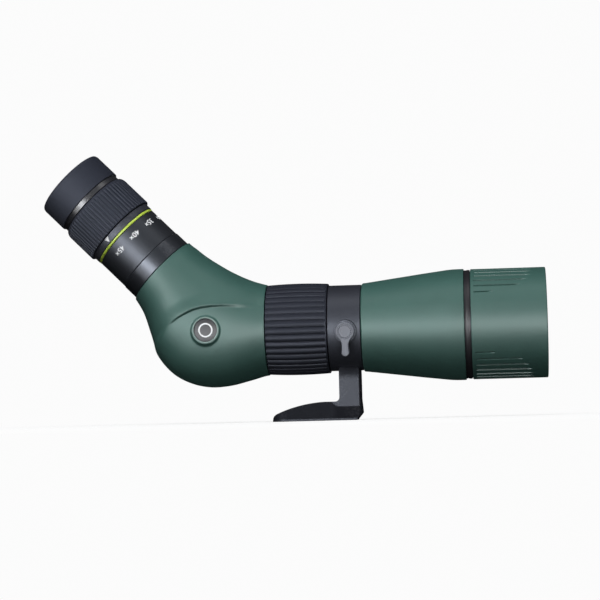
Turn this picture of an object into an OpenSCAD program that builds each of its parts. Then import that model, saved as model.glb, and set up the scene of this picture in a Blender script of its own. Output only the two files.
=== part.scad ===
// Angled 65 mm spotting scope with a zoom eyepiece, on a rotating tripod collar.
// Millimetres, +Z up, +X towards the objective. The origin is the centre of the
// tripod thread, on the flat face of the foot.

/* [Overall] */
// Height of the tube's optical axis above the tripod face
axis_h = 64.4; // [64:0.1:66]
// Where the eyepiece axis crosses the tube axis
bend_x = -68.4; // [-69:0.1:-68]
// Angle of the eyepiece axis above the tube axis
eye_angle = 45; // [45:1:45]

/* [Main tube and focus ring] */
// Outer radius of the inner tube that the collar and the focus ring turn on
tube_r = 25.6; // [25.4:0.1:25.8]
// Bore radius of the inner tube
tube_bore_r = 23; // [22.8:0.1:23.2]
// Front face of the prism housing
front_x = -37.9; // [-38.2:0.1:-37.6]
// Crown radius of the rubber focus grip
focus_r = 32.1; // [31.8:0.1:32.4]
// Number of ribs round the focus grip
focus_ribs = 40; // [36:1:44]
// Turn of the focus ring each way from the middle
focus_turn = 135; // [90:5:160]
// Travel of the focusing lens each way from the middle
focus_travel = 6; // [4:0.5:7]

/* [Collar and foot] */
// Rear face of the tripod collar
collar_x = 5.5; // [5.4:0.1:5.8]
// Width of the tripod collar
collar_w = 22.8; // [22.4:0.1:22.8]
// Outer radius of the tripod collar
collar_r = 30; // [29.8:0.1:30.2]
// Half the width of the foot plate
foot_half_w = 14.5; // [13.5:0.5:16]
// Height of the foot plate where it meets the stem
foot_h = 13.1; // [12.5:0.1:14]
// Half the width of the stem
stem_half_w = 14.5; // [12:0.5:14.5]
// Outer radius of the 1/4 inch thread
thread_r = 3.175; // [3.175:0.001:3.175]

/* [Front barrel and hood] */
// Front edge of the green barrel
barrel_end_x = 99.8; // [99.6:0.1:99.8]
// Largest radius of the barrel
barrel_r = 38.7; // [38.6:0.1:38.9]
// Outer radius of the sliding hood
hood_r = 38.4; // [38.4:0.1:38.6]
// Front edge of the hood when it is pushed back
hood_end_x = 156.3; // [155.8:0.1:156.8]
// Travel of the hood
hood_travel = 34; // [20:1:34]
// Radius of the objective lenses
objective_r = 34.1; // [34:0.05:34.15]
// Radius of the cell that the hood slides on
cell_r = 36.9; // [36.9:0.01:36.92]

/* [Eyepiece] */
// Distance along the eyepiece axis to the end of the housing's neck
neck_s = 61.9; // [61.5:0.1:62]
// Radius of the dial barrel
dial_r = 25.9; // [25.7:0.1:26]
// Crown radius of the zoom grip
zoom_r = 27.95; // [27.6:0.05:28.2]
// Number of ribs round the zoom grip
zoom_ribs = 60; // [54:1:64]
// Turn of the zoom ring from the highest to the lowest power
zoom_turn = 204; // [180:1:204]
// Outer radius of the rubber eyecup
cup_r = 26.7; // [26.5:0.1:27]
// Top of the eyecup when it is twisted down
cup_top_s = 154.5; // [154:0.1:155]
// Rise of the eyecup
cup_rise = 9; // [6:0.5:9]
// Turn of the eyecup over its whole rise
cup_turn = 100; // [90:1:104]

/* [Hidden] */

// Radial clearance of turning and sliding fits, and of parts that are screwed together
run = 0.06;
seat = 0.02;
// Axial gap between neighbouring rings that turn against each other
gap = 0.4;
eps = 0.01;
fine = 96;

// Colours
green = [0.13, 0.27, 0.23];
rubber = [0.13, 0.14, 0.16];
black_metal = [0.10, 0.10, 0.11];
grey_metal = [0.42, 0.43, 0.47];
steel = [0.62, 0.62, 0.64];
lime = [0.72, 0.86, 0.20];
glass = [0.55, 0.68, 0.72];

// Collar, lock and foot
collar_end_x = collar_x + collar_w;
lock_x = 18;
lock_tilt = 6;
lock_boss_r = 7.8;
lock_boss_top = 32.2;
lever_from = 32.6;
lever_thick = 3;
lever_hub_r = 6.65;
lever_tail = 17.3;
lever_neck_w = 4.8;
lever_end_w = 5.5;
lock_screw_r = 3;
shoe_r = 4;
shoe_from = 25.74;
shoe_thick = 1.9;
shoe_pocket = 28.3;
stem_x0 = 11.6;
stem_x1 = 25.8;
foot_tip_x = -36.3;
foot_nose_x = 26.8;
foot_heel_x = 22.8;
foot_arc_r = 94.5;
foot_crest_x = 5;
foot_draft = 3.2;
foot_draft_h = 9.8;
foot_lip_h = 1.4;
foot_screw_x = [15.1, 22.5];
bush_r = 5;
bush_h = 10;
thread_depth = 8.5;

// Front barrel, objective and hood
barrel_x = collar_end_x + 0.3;
tube_front_x = 44;
tube_rear_x = -47;
cell_x0 = 89;
cell_x1 = 143;
felt_x = 139.4;
felt_w = 2.6;
hood_x = 104.4;
hood_bore_r = 37;
hood_lip_r = 36.2;
hood_lip_x = 149;
grip_step = 8.2;
grip_rows = 7;
grip_from_x = 106.8;
grip_w = 1.4;
grip_depth = 0.6;
grip_ends = [147.2, 147.2, 147, 146.6, 145.6, 143.4, 138.8, 120];

// Housing fan: planes through one pivot, turned from the tube's end to the neck
fan_drop = (front_x - bend_x) + neck_s * sqrt(2);
pivot_z = axis_h + fan_drop;
neck_reach = (front_x - bend_x) * sqrt(2) + neck_s;
fan_step = 5;
wall = 3;
// Per fan plane: reach above the path, reach below it, half width, squareness
FAN = [
    [31.8, 31.8, 31.8, 2.00],
    [32.1, 37.1, 33.0, 2.06],
    [32.4, 43.6, 34.2, 2.14],
    [32.6, 48.9, 35.0, 2.20],
    [32.5, 51.4, 35.2, 2.24],
    [32.2, 50.9, 34.6, 2.22],
    [31.4, 46.2, 33.2, 2.16],
    [30.4, 37.0, 31.2, 2.08],
    [29.2, 30.0, 29.2, 2.02],
    [27.5, 27.5, 27.5, 2.00]
];

// Badge
badge_x = -78;
badge_seat = 34.4;
badge_r = 9;
badge_disc_r = 8.1;
badge_land = 36.1;
badge_land_r = 9.4;
badge_foot = 31;
badge_foot_r = 13.7;

// Prism: a 45 degree erecting roof prism
prism_top = [-61.2, 82.1];
prism_side = 50;
prism_half_w = 15;
bracket_y = 15.2;
bracket_thick = 2;
boss_at = [[-55, 50], [-100, 62], [-72, 86]];

// Eyepiece, as distances along its axis
seam_s = 73.5;
dial_end_s = 96.9;
accent_s = 97.2;
accent_w = 1.7;
band_end_s = 104;
zoom_end_s = 130;
cup_sleeve_s = 130.4;
cup_s = 134.3;
eye_tube_r = 21;
eye_bore_r = 18.5;
head_s = 130.6;
head_end_s = 149;
head_r = 21.95;
key_r = 23.7;
cup_sleeve_r = 25.4;
variator_s = 104.6;
variator_travel = 8;
compensator_s = 124.4;
compensator_travel = -5;
zoom_pin_r = 1.2;
cup_pin_s = 136;
cup_pin_r = 1.1;
focus_pin_r = 1.5;
focus_pin_x = -14;

// Frames of the four working axes
module on_tube() {
    translate([0, 0, axis_h]) rotate([0, 90, 0]) children();
}

module on_eyepiece() {
    translate([bend_x, 0, axis_h]) rotate([0, -eye_angle, 0]) children();
}

module on_lock() {
    translate([lock_x, 0, axis_h]) rotate([90 + lock_tilt, 0, 0]) children();
}

module on_side(x, z) {
    translate([x, 0, z]) rotate([90, 0, 0]) children();
}

// Turned shapes
module lathe(outline) {
    rotate_extrude($fn = fine) polygon(outline);
}

module ring(r_in, r_out, from, to) {
    lathe([[r_in, from], [r_out, from], [r_out, to], [r_in, to]]);
}

module soft_ring(r_in, r_out, from, to, c) {
    lathe([
        [r_in, from], [r_out - c, from], [r_out, from + c],
        [r_out, to - c], [r_out - c, to], [r_in, to]
    ]);
}

// Height of a spherical cap of rim radius rim at radius r; negative for a hollow
function cap_height(rim, ball, r) =
    sign(ball) * (sqrt(ball * ball - r * r) - sqrt(ball * ball - rim * rim));

// A lens between two rims; ball radii are positive where the face bulges out
module lens(r, from, to, ball_from, ball_to) {
    n = 8;
    low = [for (i = [0:n]) [r * i / n, from - cap_height(r, ball_from, r * i / n)]];
    high = [for (i = [n:-1:0]) [r * i / n, to + cap_height(r, ball_to, r * i / n)]];
    lathe(concat(low, high));
}

// A row of grooves or ribs round an axis
module round_axis(count) {
    for (i = [0:count - 1]) rotate([0, 0, 360 * i / count]) children();
}

// A straight slot through a wall, along the axis
module axial_slot(r_from, r_to, width, from, to) {
    translate([r_from, -width / 2, from]) cube([r_to - r_from, width, to - from]);
}

// A helical groove that carries a pin from s0 to s1 while the sleeve turns from a0 to a1
module cam_groove(r_from, r_to, width, a0, a1, s0, s1) {
    steps = ceil(max(abs(a1 - a0) / 6, abs(s1 - s0) / 0.28));
    length = r_to * 0.145;
    for (i = [0:steps]) {
        t = i / steps;
        rotate([0, 0, -(a0 + (a1 - a0) * t)])
            translate([r_from, -length / 2, s0 + (s1 - s0) * t - width / 2])
                cube([r_to - r_from, length, width]);
    }
}

module radial_pin(r, from, to, along) {
    translate([from, 0, along]) rotate([0, 90, 0]) cylinder(h = to - from, r = r, $fn = fine);
}

// ---- tripod collar and foot ----

module collar_ring() {
    color(black_metal) difference() {
        union() {
            on_tube() soft_ring(tube_r + run, collar_r, collar_x, collar_end_x, 0.5);
            on_lock() translate([0, 0, 27])
                cylinder(h = lock_boss_top - 27, r = lock_boss_r, $fn = fine);
        }
        on_tube() cylinder(h = 60, r = tube_r + run, $fn = fine);
        on_lock() cylinder(h = shoe_pocket, r = shoe_r + run, $fn = fine);
        on_lock() cylinder(h = lock_boss_top + 1, r = lock_screw_r + run, $fn = fine);
        on_tube() for (x = foot_screw_x) {
            radial_pin(1.8, 20, 40, x);
            radial_pin(3.3, 20, 28.3, x);
        }
    }
}

module foot_side() {
    difference() {
        intersection() {
            polygon([
                [foot_tip_x, 0], [foot_tip_x + 0.4, 2.2], [foot_tip_x + 2.9, 5.1],
                [foot_tip_x + 4.5, foot_h], [stem_x0 - 3, foot_h], [stem_x0, foot_h + 3],
                [stem_x0, 45], [stem_x1, 45], [stem_x1, foot_h + 1.2], [foot_nose_x, 5],
                [foot_heel_x, 0]
            ]);
            union() {
                translate([foot_crest_x, foot_h + 0.1 - foot_arc_r])
                    circle(r = foot_arc_r, $fn = 360);
                translate([foot_crest_x - 1, -1]) square([60, 60]);
            }
        }
        translate([stem_x0 - 3, foot_h + 3]) circle(r = 3, $fn = 48);
    }
}

// Outline of the plate from above: round at the tip, small corners at the nose
module foot_plan(half_w) {
    tip_r = 12;
    nose_r = 2;
    translate([foot_tip_x + tip_r, -half_w])
        square([foot_nose_x - foot_tip_x - tip_r - nose_r, 2 * half_w]);
    translate([foot_tip_x, tip_r - half_w]) square([tip_r + 1, 2 * (half_w - tip_r)]);
    translate([foot_nose_x - nose_r - 1, nose_r - half_w])
        square([nose_r + 1, 2 * (half_w - nose_r)]);
    for (y = [-1, 1]) {
        translate([foot_tip_x + tip_r, y * (half_w - tip_r)]) circle(r = tip_r, $fn = fine);
        translate([foot_nose_x - nose_r, y * (half_w - nose_r)]) circle(r = nose_r, $fn = 48);
    }
}

// What the casting's draft and bottom lip take off one flank of the plate
module foot_flank() {
    rotate([90, 0, 90]) translate([0, 0, -60]) linear_extrude(120) polygon([
        [foot_half_w, foot_draft_h], [foot_half_w - foot_draft, foot_lip_h],
        [foot_half_w - foot_draft, -1], [foot_half_w + 1, -1], [foot_half_w + 1, foot_draft_h]
    ]);
}

module foot() {
    color(black_metal) difference() {
        intersection() {
            rotate([90, 0, 0]) translate([0, 0, -foot_half_w])
                linear_extrude(2 * foot_half_w) foot_side();
            union() {
                linear_extrude(foot_h + 2) foot_plan(foot_half_w);
                translate([stem_x0 - 2, -stem_half_w, foot_h + 1])
                    cube([40, 2 * stem_half_w, 40]);
            }
        }
        on_tube() translate([0, 0, -60]) cylinder(h = 140, r = collar_r + seat, $fn = fine);
        translate([0, 0, -1]) cylinder(h = bush_h + 1, r = bush_r + seat, $fn = fine);
        on_tube() for (x = foot_screw_x) radial_pin(1.7, 28, 43, x);
        for (side = [0, 180]) rotate([0, 0, side]) foot_flank();
    }
}

module foot_screws() {
    color(steel) on_tube() for (x = foot_screw_x) {
        radial_pin(1.65, 28, 42, x);
        difference() {
            radial_pin(3.2, 26.2, 28.25, x);
            radial_pin(1.25, 26, 27.4, x, $fn = 6);
        }
    }
}

module tripod_bush() {
    color(steel) difference() {
        cylinder(h = bush_h - 0.05, r = bush_r, $fn = fine);
        translate([0, 0, -1]) cylinder(h = thread_depth + 1, r = thread_r, $fn = fine);
    }
}

// ---- lock ----

module lever_plan() {
    circle(r = lever_hub_r, $fn = fine);
    translate([0, -lever_tail + lever_end_w / 2]) circle(r = lever_end_w / 2, $fn = 48);
    polygon([
        [-5.1, -4.2], [-3.2, -6.6], [-lever_neck_w / 2, -9], [-lever_end_w / 2, -lever_tail + 3],
        [lever_end_w / 2, -lever_tail + 3], [lever_neck_w / 2, -9], [3.2, -6.6], [5.1, -4.2]
    ]);
}

module lock_lever() {
    color(grey_metal) on_lock() difference() {
        translate([0, 0, lever_from]) linear_extrude(lever_thick) lever_plan();
        translate([0, 0, 30]) cylinder(h = 10, r = lock_screw_r + seat, $fn = fine);
        translate([0, 0, lever_from + lever_thick - 0.6]) cylinder(h = 2, r = 5.25, $fn = fine);
    }
}

module lock_screw() {
    color(steel) on_lock() translate([0, 0, shoe_from + shoe_thick + 0.35])
        cylinder(h = lever_from + lever_thick - 0.65 - (shoe_from + shoe_thick + 0.35),
            r = lock_screw_r, $fn = fine);
}

module lock_cap() {
    color(grey_metal) on_lock() translate([0, 0, lever_from + lever_thick - 0.6])
        cylinder(h = 0.8, r = 5.2, $fn = fine);
}

module brake_shoe() {
    color([0.8, 0.78, 0.7]) on_lock() translate([0, 0, shoe_from])
        cylinder(h = shoe_thick, r = shoe_r, $fn = fine);
}

// ---- tube ----

module main_tube() {
    color(black_metal) on_tube() difference() {
        ring(tube_bore_r, tube_r, tube_rear_x, tube_front_x);
        axial_slot(20, 30, 2 * focus_pin_r + 0.3,
            focus_pin_x - focus_travel - 2, focus_pin_x + focus_travel + 2);
        for (x = [tube_rear_x + 4, tube_front_x - 5]) ring(tube_r - 1, tube_r + 1, x, x + 1.2);
    }
}

module tube_seals() {
    color(rubber) on_tube() for (x = [tube_rear_x + 4, tube_front_x - 5])
        ring(tube_r - 0.98, tube_r, x + 0.1, x + 1.1);
}

// Inside of the barrel's cone at x
function barrel_inner(x) = 29.8 + (x - tube_front_x) * (36.2 - 29.8) / (cell_x0 - 1 - tube_front_x);

module front_barrel() {
    corner = 1.3;
    edge_r = 30.9;
    rear = [for (a = [90:-30:0]) [
        edge_r - corner + corner * cos(a), barrel_x + corner - corner * sin(a)
    ]];
    color(green) on_tube() lathe(concat(
        [[tube_r + seat, barrel_x]],
        rear,
        [[38.05, 86.5], [38.5, 90.5], [barrel_r, 95], [barrel_r, barrel_end_x - 0.5]],
        [[barrel_r - 0.5, barrel_end_x], [cell_r + seat, barrel_end_x], [cell_r + seat, cell_x0 - 1]],
        [[36.2, cell_x0 - 1], [barrel_inner(tube_front_x), tube_front_x]],
        [[tube_r + seat, tube_front_x]]
    ));
}

module light_baffle() {
    from = 61;
    to = 63;
    color(black_metal) on_tube() lathe([
        [24.5, from], [barrel_inner(from) - 0.08, from], [barrel_inner(to) - 0.08, to], [25, to]
    ]);
}

module bumper_ring() {
    color(rubber) on_tube()
        soft_ring(cell_r + seat, 37.9, barrel_end_x + 0.05, hood_x - 0.35, 0.35);
}

module objective_cell() {
    color(black_metal) on_tube() lathe([
        [33.4, cell_x0], [cell_r, cell_x0], [cell_r, felt_x], [cell_r - 0.8, felt_x],
        [cell_r - 0.8, felt_x + felt_w], [cell_r, felt_x + felt_w],
        [cell_r, cell_x1 - 0.3], [cell_r - 0.3, cell_x1],
        [objective_r + seat, cell_x1], [objective_r + seat, 124], [32.6, 124], [32.6, 121],
        [33.4, 121]
    ]);
}

module hood_felt() {
    color(rubber) on_tube() ring(cell_r - 0.79, cell_r + 0.03, felt_x + 0.02, felt_x + felt_w - 0.02);
}

module flint_lens() {
    color(glass) on_tube() lens(objective_r, 124.1, 132.4, 700, -190);
}

module lens_spacer() {
    color(steel) on_tube() lathe([
        [33, 132.42], [objective_r, 132.42], [objective_r, 132.98], [33, 132.74]
    ]);
}

module crown_lens() {
    color(glass) on_tube() lens(objective_r, 133, 138.2, 186, 190);
}

module lens_ring() {
    color(black_metal) on_tube() difference() {
        lathe([[32.7, 138.8], [objective_r - 0.02, 138.25], [objective_r - 0.02, 142.4],
            [33.1, 142.4]]);
        for (a = [0, 180]) rotate([0, 0, a]) axial_slot(31, 33.6, 1.6, 141.4, 143);
    }
}

// ---- prism housing ----

// Catmull-Rom value of one column of FAN at fan angle a
function fan(a, col) =
    let (
        i = min(floor(a / fan_step), len(FAN) - 2),
        t = a / fan_step - i,
        p = [for (k = [-1:2]) FAN[max(0, min(len(FAN) - 1, i + k))][col]]
    )
    0.5 * (2 * p[1] + (p[2] - p[0]) * t
        + (2 * p[0] - 5 * p[1] + 4 * p[2] - p[3]) * t * t
        + (3 * p[1] - p[0] - 3 * p[2] + p[3]) * t * t * t);

function fan_path(a) = fan_drop + (neck_reach - fan_drop) * a / eye_angle;

function bow(value, power) = sign(value) * pow(abs(value), power);

// One point of the section at fan angle a, round position b, inside the skin by inset
function fan_point(a, b, inset) =
    let (
        top = fan_path(a) - fan(a, 0),
        bottom = fan_path(a) + fan(a, 1),
        power = 2 / fan(a, 3),
        reach = (top + bottom) / 2 + ((bottom - top) / 2 - inset) * bow(cos(b), power),
        side = (fan(a, 2) - inset) * bow(sin(b), power)
    )
    [front_x - reach * sin(a), side, pivot_z - reach * cos(a)];

module fan_body(inset, from, to, rings, sides) {
    points = [for (i = [0:rings]) for (j = [0:sides - 1])
        fan_point(from + (to - from) * i / rings, 360 * j / sides, inset)];
    skin = [for (i = [0:rings - 1]) for (j = [0:sides - 1]) [
        i * sides + j, i * sides + (j + 1) % sides,
        (i + 1) * sides + (j + 1) % sides, (i + 1) * sides + j
    ]];
    ends = [
        [for (j = [sides - 1:-1:0]) j],
        [for (j = [0:sides - 1]) rings * sides + j]
    ];
    polyhedron(concat(points), concat(skin, ends), convexity = 6);
}

module prism_housing() {
    color(green) difference() {
        union() {
            fan_body(0, 0, eye_angle, 27, 44);
            on_side(badge_x, axis_h) lathe([
                [0, badge_foot], [badge_foot_r, badge_foot], [badge_land_r, badge_land], [0, badge_land]
            ]);
        }
        difference() {
            fan_body(wall, 3, eye_angle - 3, 13, 24);
            for (at = boss_at) on_side(at[0], at[1]) translate([0, 0, -40])
                cylinder(h = 40 - bracket_y - bracket_thick - seat, r = 3.4, $fn = 24);
        }
        on_tube() translate([0, 0, tube_rear_x - 2])
            cylinder(h = 20, r = tube_r + seat, $fn = fine);
        on_eyepiece() translate([0, 0, neck_s - 10]) cylinder(h = 20, r = 23, $fn = fine);
        on_side(badge_x, axis_h) translate([0, 0, badge_seat])
            cylinder(h = 5, r = badge_r + seat, $fn = fine);
        for (at = boss_at) on_side(at[0], at[1])
            translate([0, 0, -27]) cylinder(h = 12, r = 1.25, $fn = 24);
    }
}

module badge_bezel() {
    color(green) on_side(badge_x, axis_h)
        soft_ring(badge_disc_r + seat, badge_r, badge_seat + seat, badge_land + 0.2, 0.25);
}

module badge_disc() {
    color(black_metal) on_side(badge_x, axis_h) translate([0, 0, badge_seat + seat])
        cylinder(h = 1.1, r = badge_disc_r, $fn = fine);
}

// Corners of the prism in the XZ plane: apex, foot of the entrance face, foot of the exit face
function prism_corner(i) = i == 0 ? prism_top
    : i == 1 ? prism_top - [0, prism_side]
    : prism_top - [prism_side, prism_side] / sqrt(2);

// Ridge of the roof, from one lower corner to the other
ridge_mid = (prism_corner(1) + prism_corner(2)) / 2;
ridge_tilt = atan2(prism_corner(1)[1] - prism_corner(2)[1], prism_corner(1)[0] - prism_corner(2)[0]);

module roof_prism() {
    color(glass) intersection() {
        rotate([90, 0, 0]) translate([0, 0, -prism_half_w]) linear_extrude(2 * prism_half_w)
            polygon([prism_corner(0) - [0, 4], prism_corner(1), prism_corner(2),
                prism_corner(0) - [4, 4] / sqrt(2)]);
        translate([ridge_mid[0], 0, ridge_mid[1]]) rotate([0, -ridge_tilt, 0])
            rotate([45, 0, 0]) translate([-60, 0, 0]) cube([120, 90, 90]);
    }
}

// A flat arm from one point to another, with a round end
module arm(from, to, w) {
    run_x = to[0] - from[0];
    run_z = to[1] - from[1];
    translate(from) rotate(atan2(run_z, run_x))
        translate([0, -w / 2]) square([norm([run_x, run_z]), w]);
    translate(to) circle(r = w / 2, $fn = 48);
}

module prism_bracket() {
    mid = (prism_corner(0) + prism_corner(1) + prism_corner(2)) / 3;
    color(black_metal) rotate([90, 0, 0]) translate([0, 0, -bracket_y - bracket_thick])
        linear_extrude(bracket_thick) difference() {
            union() {
                translate(mid) circle(r = 12, $fn = fine);
                for (at = boss_at) arm(mid, at, 8);
                arm(mid, prism_corner(0) - [3, 9], 7);
                arm(mid, prism_corner(1) + [-4, 9], 7);
                arm(mid, prism_corner(2) + [8, 4], 7);
            }
            for (at = boss_at) translate(at) circle(r = 1.6, $fn = 24);
            translate(mid) circle(r = 4.5, $fn = 48);
        }
}

// A leg across the blunt apex of the prism, and a strip down its free side
module prism_clip() {
    flat = prism_top - [3.7 * sin(eye_angle / 2), 3.7 * cos(eye_angle / 2)];
    color(steel) translate([flat[0], -prism_half_w - 0.9, flat[1]])
        rotate([0, eye_angle / 2, 0]) {
            translate([-2.5, 0, 0.1]) cube([5, 2 * prism_half_w + 1.05, 0.8]);
            translate([-2.5, 0, -24]) cube([5, 0.8, 24.9]);
        }
}

module bracket_screws() {
    color(steel) for (at = boss_at) on_side(at[0], at[1]) {
        translate([0, 0, -24.5]) cylinder(h = 10.5, r = 1.2, $fn = 24);
        translate([0, 0, -bracket_y + 0.02]) cylinder(h = 1.6, r = 2.6, $fn = 24);
    }
}

// ---- eyepiece, fixed parts ----

module eyepiece_mount() {
    color(black_metal) on_eyepiece() lathe([
        [eye_tube_r + seat, neck_s - 7], [22.9, neck_s - 7], [22.9, neck_s - 5],
        [22.1, neck_s - 5], [22.1, neck_s - 3.8], [22.9, neck_s - 3.8], [22.9, neck_s + 0.1],
        [25.7, neck_s + 0.1], [26.3, neck_s + 0.6], [26.3, seam_s - 0.4], [25.9, seam_s],
        [eye_tube_r + seat, seam_s]
    ]);
}

module eyepiece_seal() {
    color(rubber) on_eyepiece() ring(22.15, 22.95, neck_s - 4.9, neck_s - 3.9);
}

module dial_barrel() {
    color(black_metal) on_eyepiece()
        soft_ring(eye_tube_r + seat, dial_r, seam_s + 0.02, dial_end_s, 0.25);
}

module eyepiece_tube() {
    color(black_metal) on_eyepiece() difference() {
        union() {
            ring(eye_bore_r, eye_tube_r, neck_s - 8, head_s - 0.02);
            ring(15.5, eye_bore_r + eps, 83, 84);
        }
        axial_slot(15, 25, 2 * zoom_pin_r + 0.3,
            variator_s - 1.6, variator_s + variator_travel + 1.6);
        rotate([0, 0, 180]) axial_slot(15, 25, 2 * zoom_pin_r + 0.3,
            compensator_s + compensator_travel - 1.6, compensator_s + 1.6);
    }
}

module field_stop() {
    color(black_metal) on_eyepiece() ring(11, eye_bore_r - seat, 93, 94.2);
}

module field_lens() {
    color(glass) on_eyepiece() lens(eye_bore_r - seat, 84.02, 87.5, -60, 45);
}

module eyepiece_head() {
    flange_r = key_r - 0.3;
    color(black_metal) on_eyepiece() difference() {
        lathe([
            [16, head_s], [head_r, head_s], [head_r, head_end_s - 1.1],
            [flange_r, head_end_s - 1.1], [flange_r, head_end_s - 0.2],
            [flange_r - 0.2, head_end_s], [19.2, head_end_s], [19.2, head_end_s - 2.4],
            [18.2, head_end_s - 2.4], [18.2, 138.3], [17.2, 138.3], [17.2, 133], [16, 133]
        ]);
        round_axis(3) cam_groove(20.6, 25, 2 * cup_pin_r + 0.5, 0, -cup_turn,
            cup_pin_s, cup_pin_s + cup_rise);
    }
}

module inner_eye_lens() {
    color(glass) on_eyepiece() lens(17.2 - seat, 133.02, 135, -90, 140);
}

module eye_lens() {
    color(glass) on_eyepiece() lens(18.2 - seat, 138.53, 141.6, 90, 60);
}

module eye_lens_ring() {
    color(black_metal) on_eyepiece() lathe([
        [16.6, 142.4], [17.3, 142.1], [18.17, 141.8], [18.17, 146.62], [19.17, 146.62],
        [19.17, 148.6], [18.8, 148.6]
    ]);
}

// ---- focus ring and its lens ----

module focus_sleeve() {
    color(black_metal) on_tube() difference() {
        ring(tube_r + run, 29.4, front_x + gap, collar_x - gap);
        cam_groove(tube_r - 1, 28, 2 * focus_pin_r + 0.7, -focus_turn, focus_turn,
            focus_pin_x - focus_travel, focus_pin_x + focus_travel);
    }
}

module focus_grip() {
    from = front_x + gap;
    to = collar_x - gap;
    half = (to - from) / 2;
    n = 8;
    crown = [for (i = [0:n]) [
        focus_r - 0.7 * pow(1 - 2 * i / n, 2),
        from + 0.6 + (to - from - 0.9) * i / n
    ]];
    color(rubber) on_tube() difference() {
        lathe(concat([[29.42, from], [focus_r - 1.4, from]], crown, [[focus_r - 1.1, to], [29.42, to]]));
        round_axis(focus_ribs)
            axial_slot(focus_r - 1.25, focus_r + 1, 1.3, from - 1, from + half * 2 - 3);
    }
}

module focus_cell() {
    color(black_metal) on_tube() lathe([
        [18, focus_pin_x - 9], [tube_bore_r - run, focus_pin_x - 9],
        [tube_bore_r - run, focus_pin_x + 9], [20.6, focus_pin_x + 9],
        [20.6, focus_pin_x - 3], [18, focus_pin_x - 3]
    ]);
}

module focus_lens() {
    color(glass) on_tube() lens(20.58, focus_pin_x - 2.98, focus_pin_x + 3, -90, -120);
}

module focus_pin() {
    color(steel) on_tube() radial_pin(focus_pin_r, tube_bore_r - run + eps, 27.6, focus_pin_x);
}

// ---- hood ----

module hood() {
    color(green) on_tube() difference() {
        lathe([
            [hood_bore_r, hood_x], [hood_r - 0.4, hood_x], [hood_r, hood_x + 0.5],
            [hood_r, hood_end_x - 0.6], [hood_r - 0.5, hood_end_x], [hood_lip_r + 0.4, hood_end_x],
            [hood_lip_r, hood_end_x - 0.4], [hood_lip_r, hood_lip_x], [hood_bore_r, hood_lip_x - 0.8]
        ]);
        for (side = [0, 180]) for (k = [-grip_rows:grip_rows])
            rotate([0, 0, side + k * grip_step])
                axial_slot(hood_r - grip_depth, hood_r + 1, grip_w, grip_from_x, grip_ends[abs(k)]);
    }
}

// ---- zoom ring and its lenses ----

module zoom_sleeve() {
    color(black_metal) on_eyepiece() difference() {
        lathe([
            [eye_tube_r + run, accent_s], [24.3, accent_s], [24.3, accent_s + accent_w + seat],
            [26.0, accent_s + accent_w + seat], [26.3, accent_s + accent_w + 0.3],
            [26.3, band_end_s - 0.3], [26.0, band_end_s], [24, band_end_s],
            [24, zoom_end_s - 0.4], [eye_tube_r + run, zoom_end_s - 0.4]
        ]);
        cam_groove(20, 23.1, 2 * zoom_pin_r + 0.6, 0, zoom_turn,
            variator_s, variator_s + variator_travel);
        rotate([0, 0, 180]) cam_groove(20, 23.1, 2 * zoom_pin_r + 0.6, 0, zoom_turn,
            compensator_s, compensator_s + compensator_travel);
    }
}

module zoom_grip() {
    from = band_end_s + 0.2;
    color(rubber) on_eyepiece() difference() {
        lathe([
            [24.02, from], [zoom_r - 0.8, from], [zoom_r, from + 0.8], [zoom_r, 126.6],
            [zoom_r - 0.35, 128.2], [26.6, zoom_end_s - 0.3], [26.2, zoom_end_s], [24.02, zoom_end_s]
        ]);
        round_axis(zoom_ribs) axial_slot(zoom_r - 0.6, zoom_r + 1, 1.1, from - 1, 131);
    }
}

module accent_ring() {
    color(lime) on_eyepiece() soft_ring(24.32, 25.95, accent_s, accent_s + accent_w, 0.25);
}

// A lens carriage: a cell with a seat for its lens
module zoom_cell(s) {
    color(black_metal) on_eyepiece() lathe([
        [13.5, s - 3], [eye_bore_r - run, s - 3], [eye_bore_r - run, s + 3], [15.6, s + 3],
        [15.6, s - 1.8], [13.5, s - 1.8]
    ]);
}

module variator_cell() {
    zoom_cell(variator_s);
}

module variator_lens() {
    color(glass) on_eyepiece() lens(15.58, variator_s - 1.78, variator_s + 2, -130, -130);
}

module variator_pin() {
    color(steel) on_eyepiece() radial_pin(zoom_pin_r, eye_bore_r - run + eps, 22.8, variator_s);
}

module compensator_cell() {
    zoom_cell(compensator_s);
}

module compensator_lens() {
    color(glass) on_eyepiece() lens(15.58, compensator_s - 1.36, compensator_s + 1, 80, 60);
}

module compensator_pin() {
    color(steel) on_eyepiece() rotate([0, 0, 180])
        radial_pin(zoom_pin_r, eye_bore_r - run + eps, 22.8, compensator_s);
}

// ---- twist-up eyecup ----

module eyecup_key_ring() {
    color(black_metal) on_eyepiece() difference() {
        ring(head_r + run, key_r, head_s + 0.2, head_end_s - 1.4);
        round_axis(3) axial_slot(20, 26, 2 * cup_pin_r + 0.2,
            cup_pin_s - cup_pin_r - 0.2, cup_pin_s + cup_rise + cup_pin_r + 0.2);
    }
}

module eyecup_sleeve() {
    color([0.3, 0.3, 0.32]) on_eyepiece() lathe([
        [key_r + run, cup_sleeve_s], [25.3, cup_sleeve_s], [25.6, cup_sleeve_s + 0.3],
        [25.6, cup_s - 0.02], [cup_sleeve_r, cup_s - 0.02], [cup_sleeve_r, 149.4],
        [key_r + run, 149.4]
    ]);
}

module eyecup_pins() {
    color(steel) on_eyepiece() round_axis(3)
        radial_pin(cup_pin_r, 21, key_r + run - 0.05, cup_pin_s);
}

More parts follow.
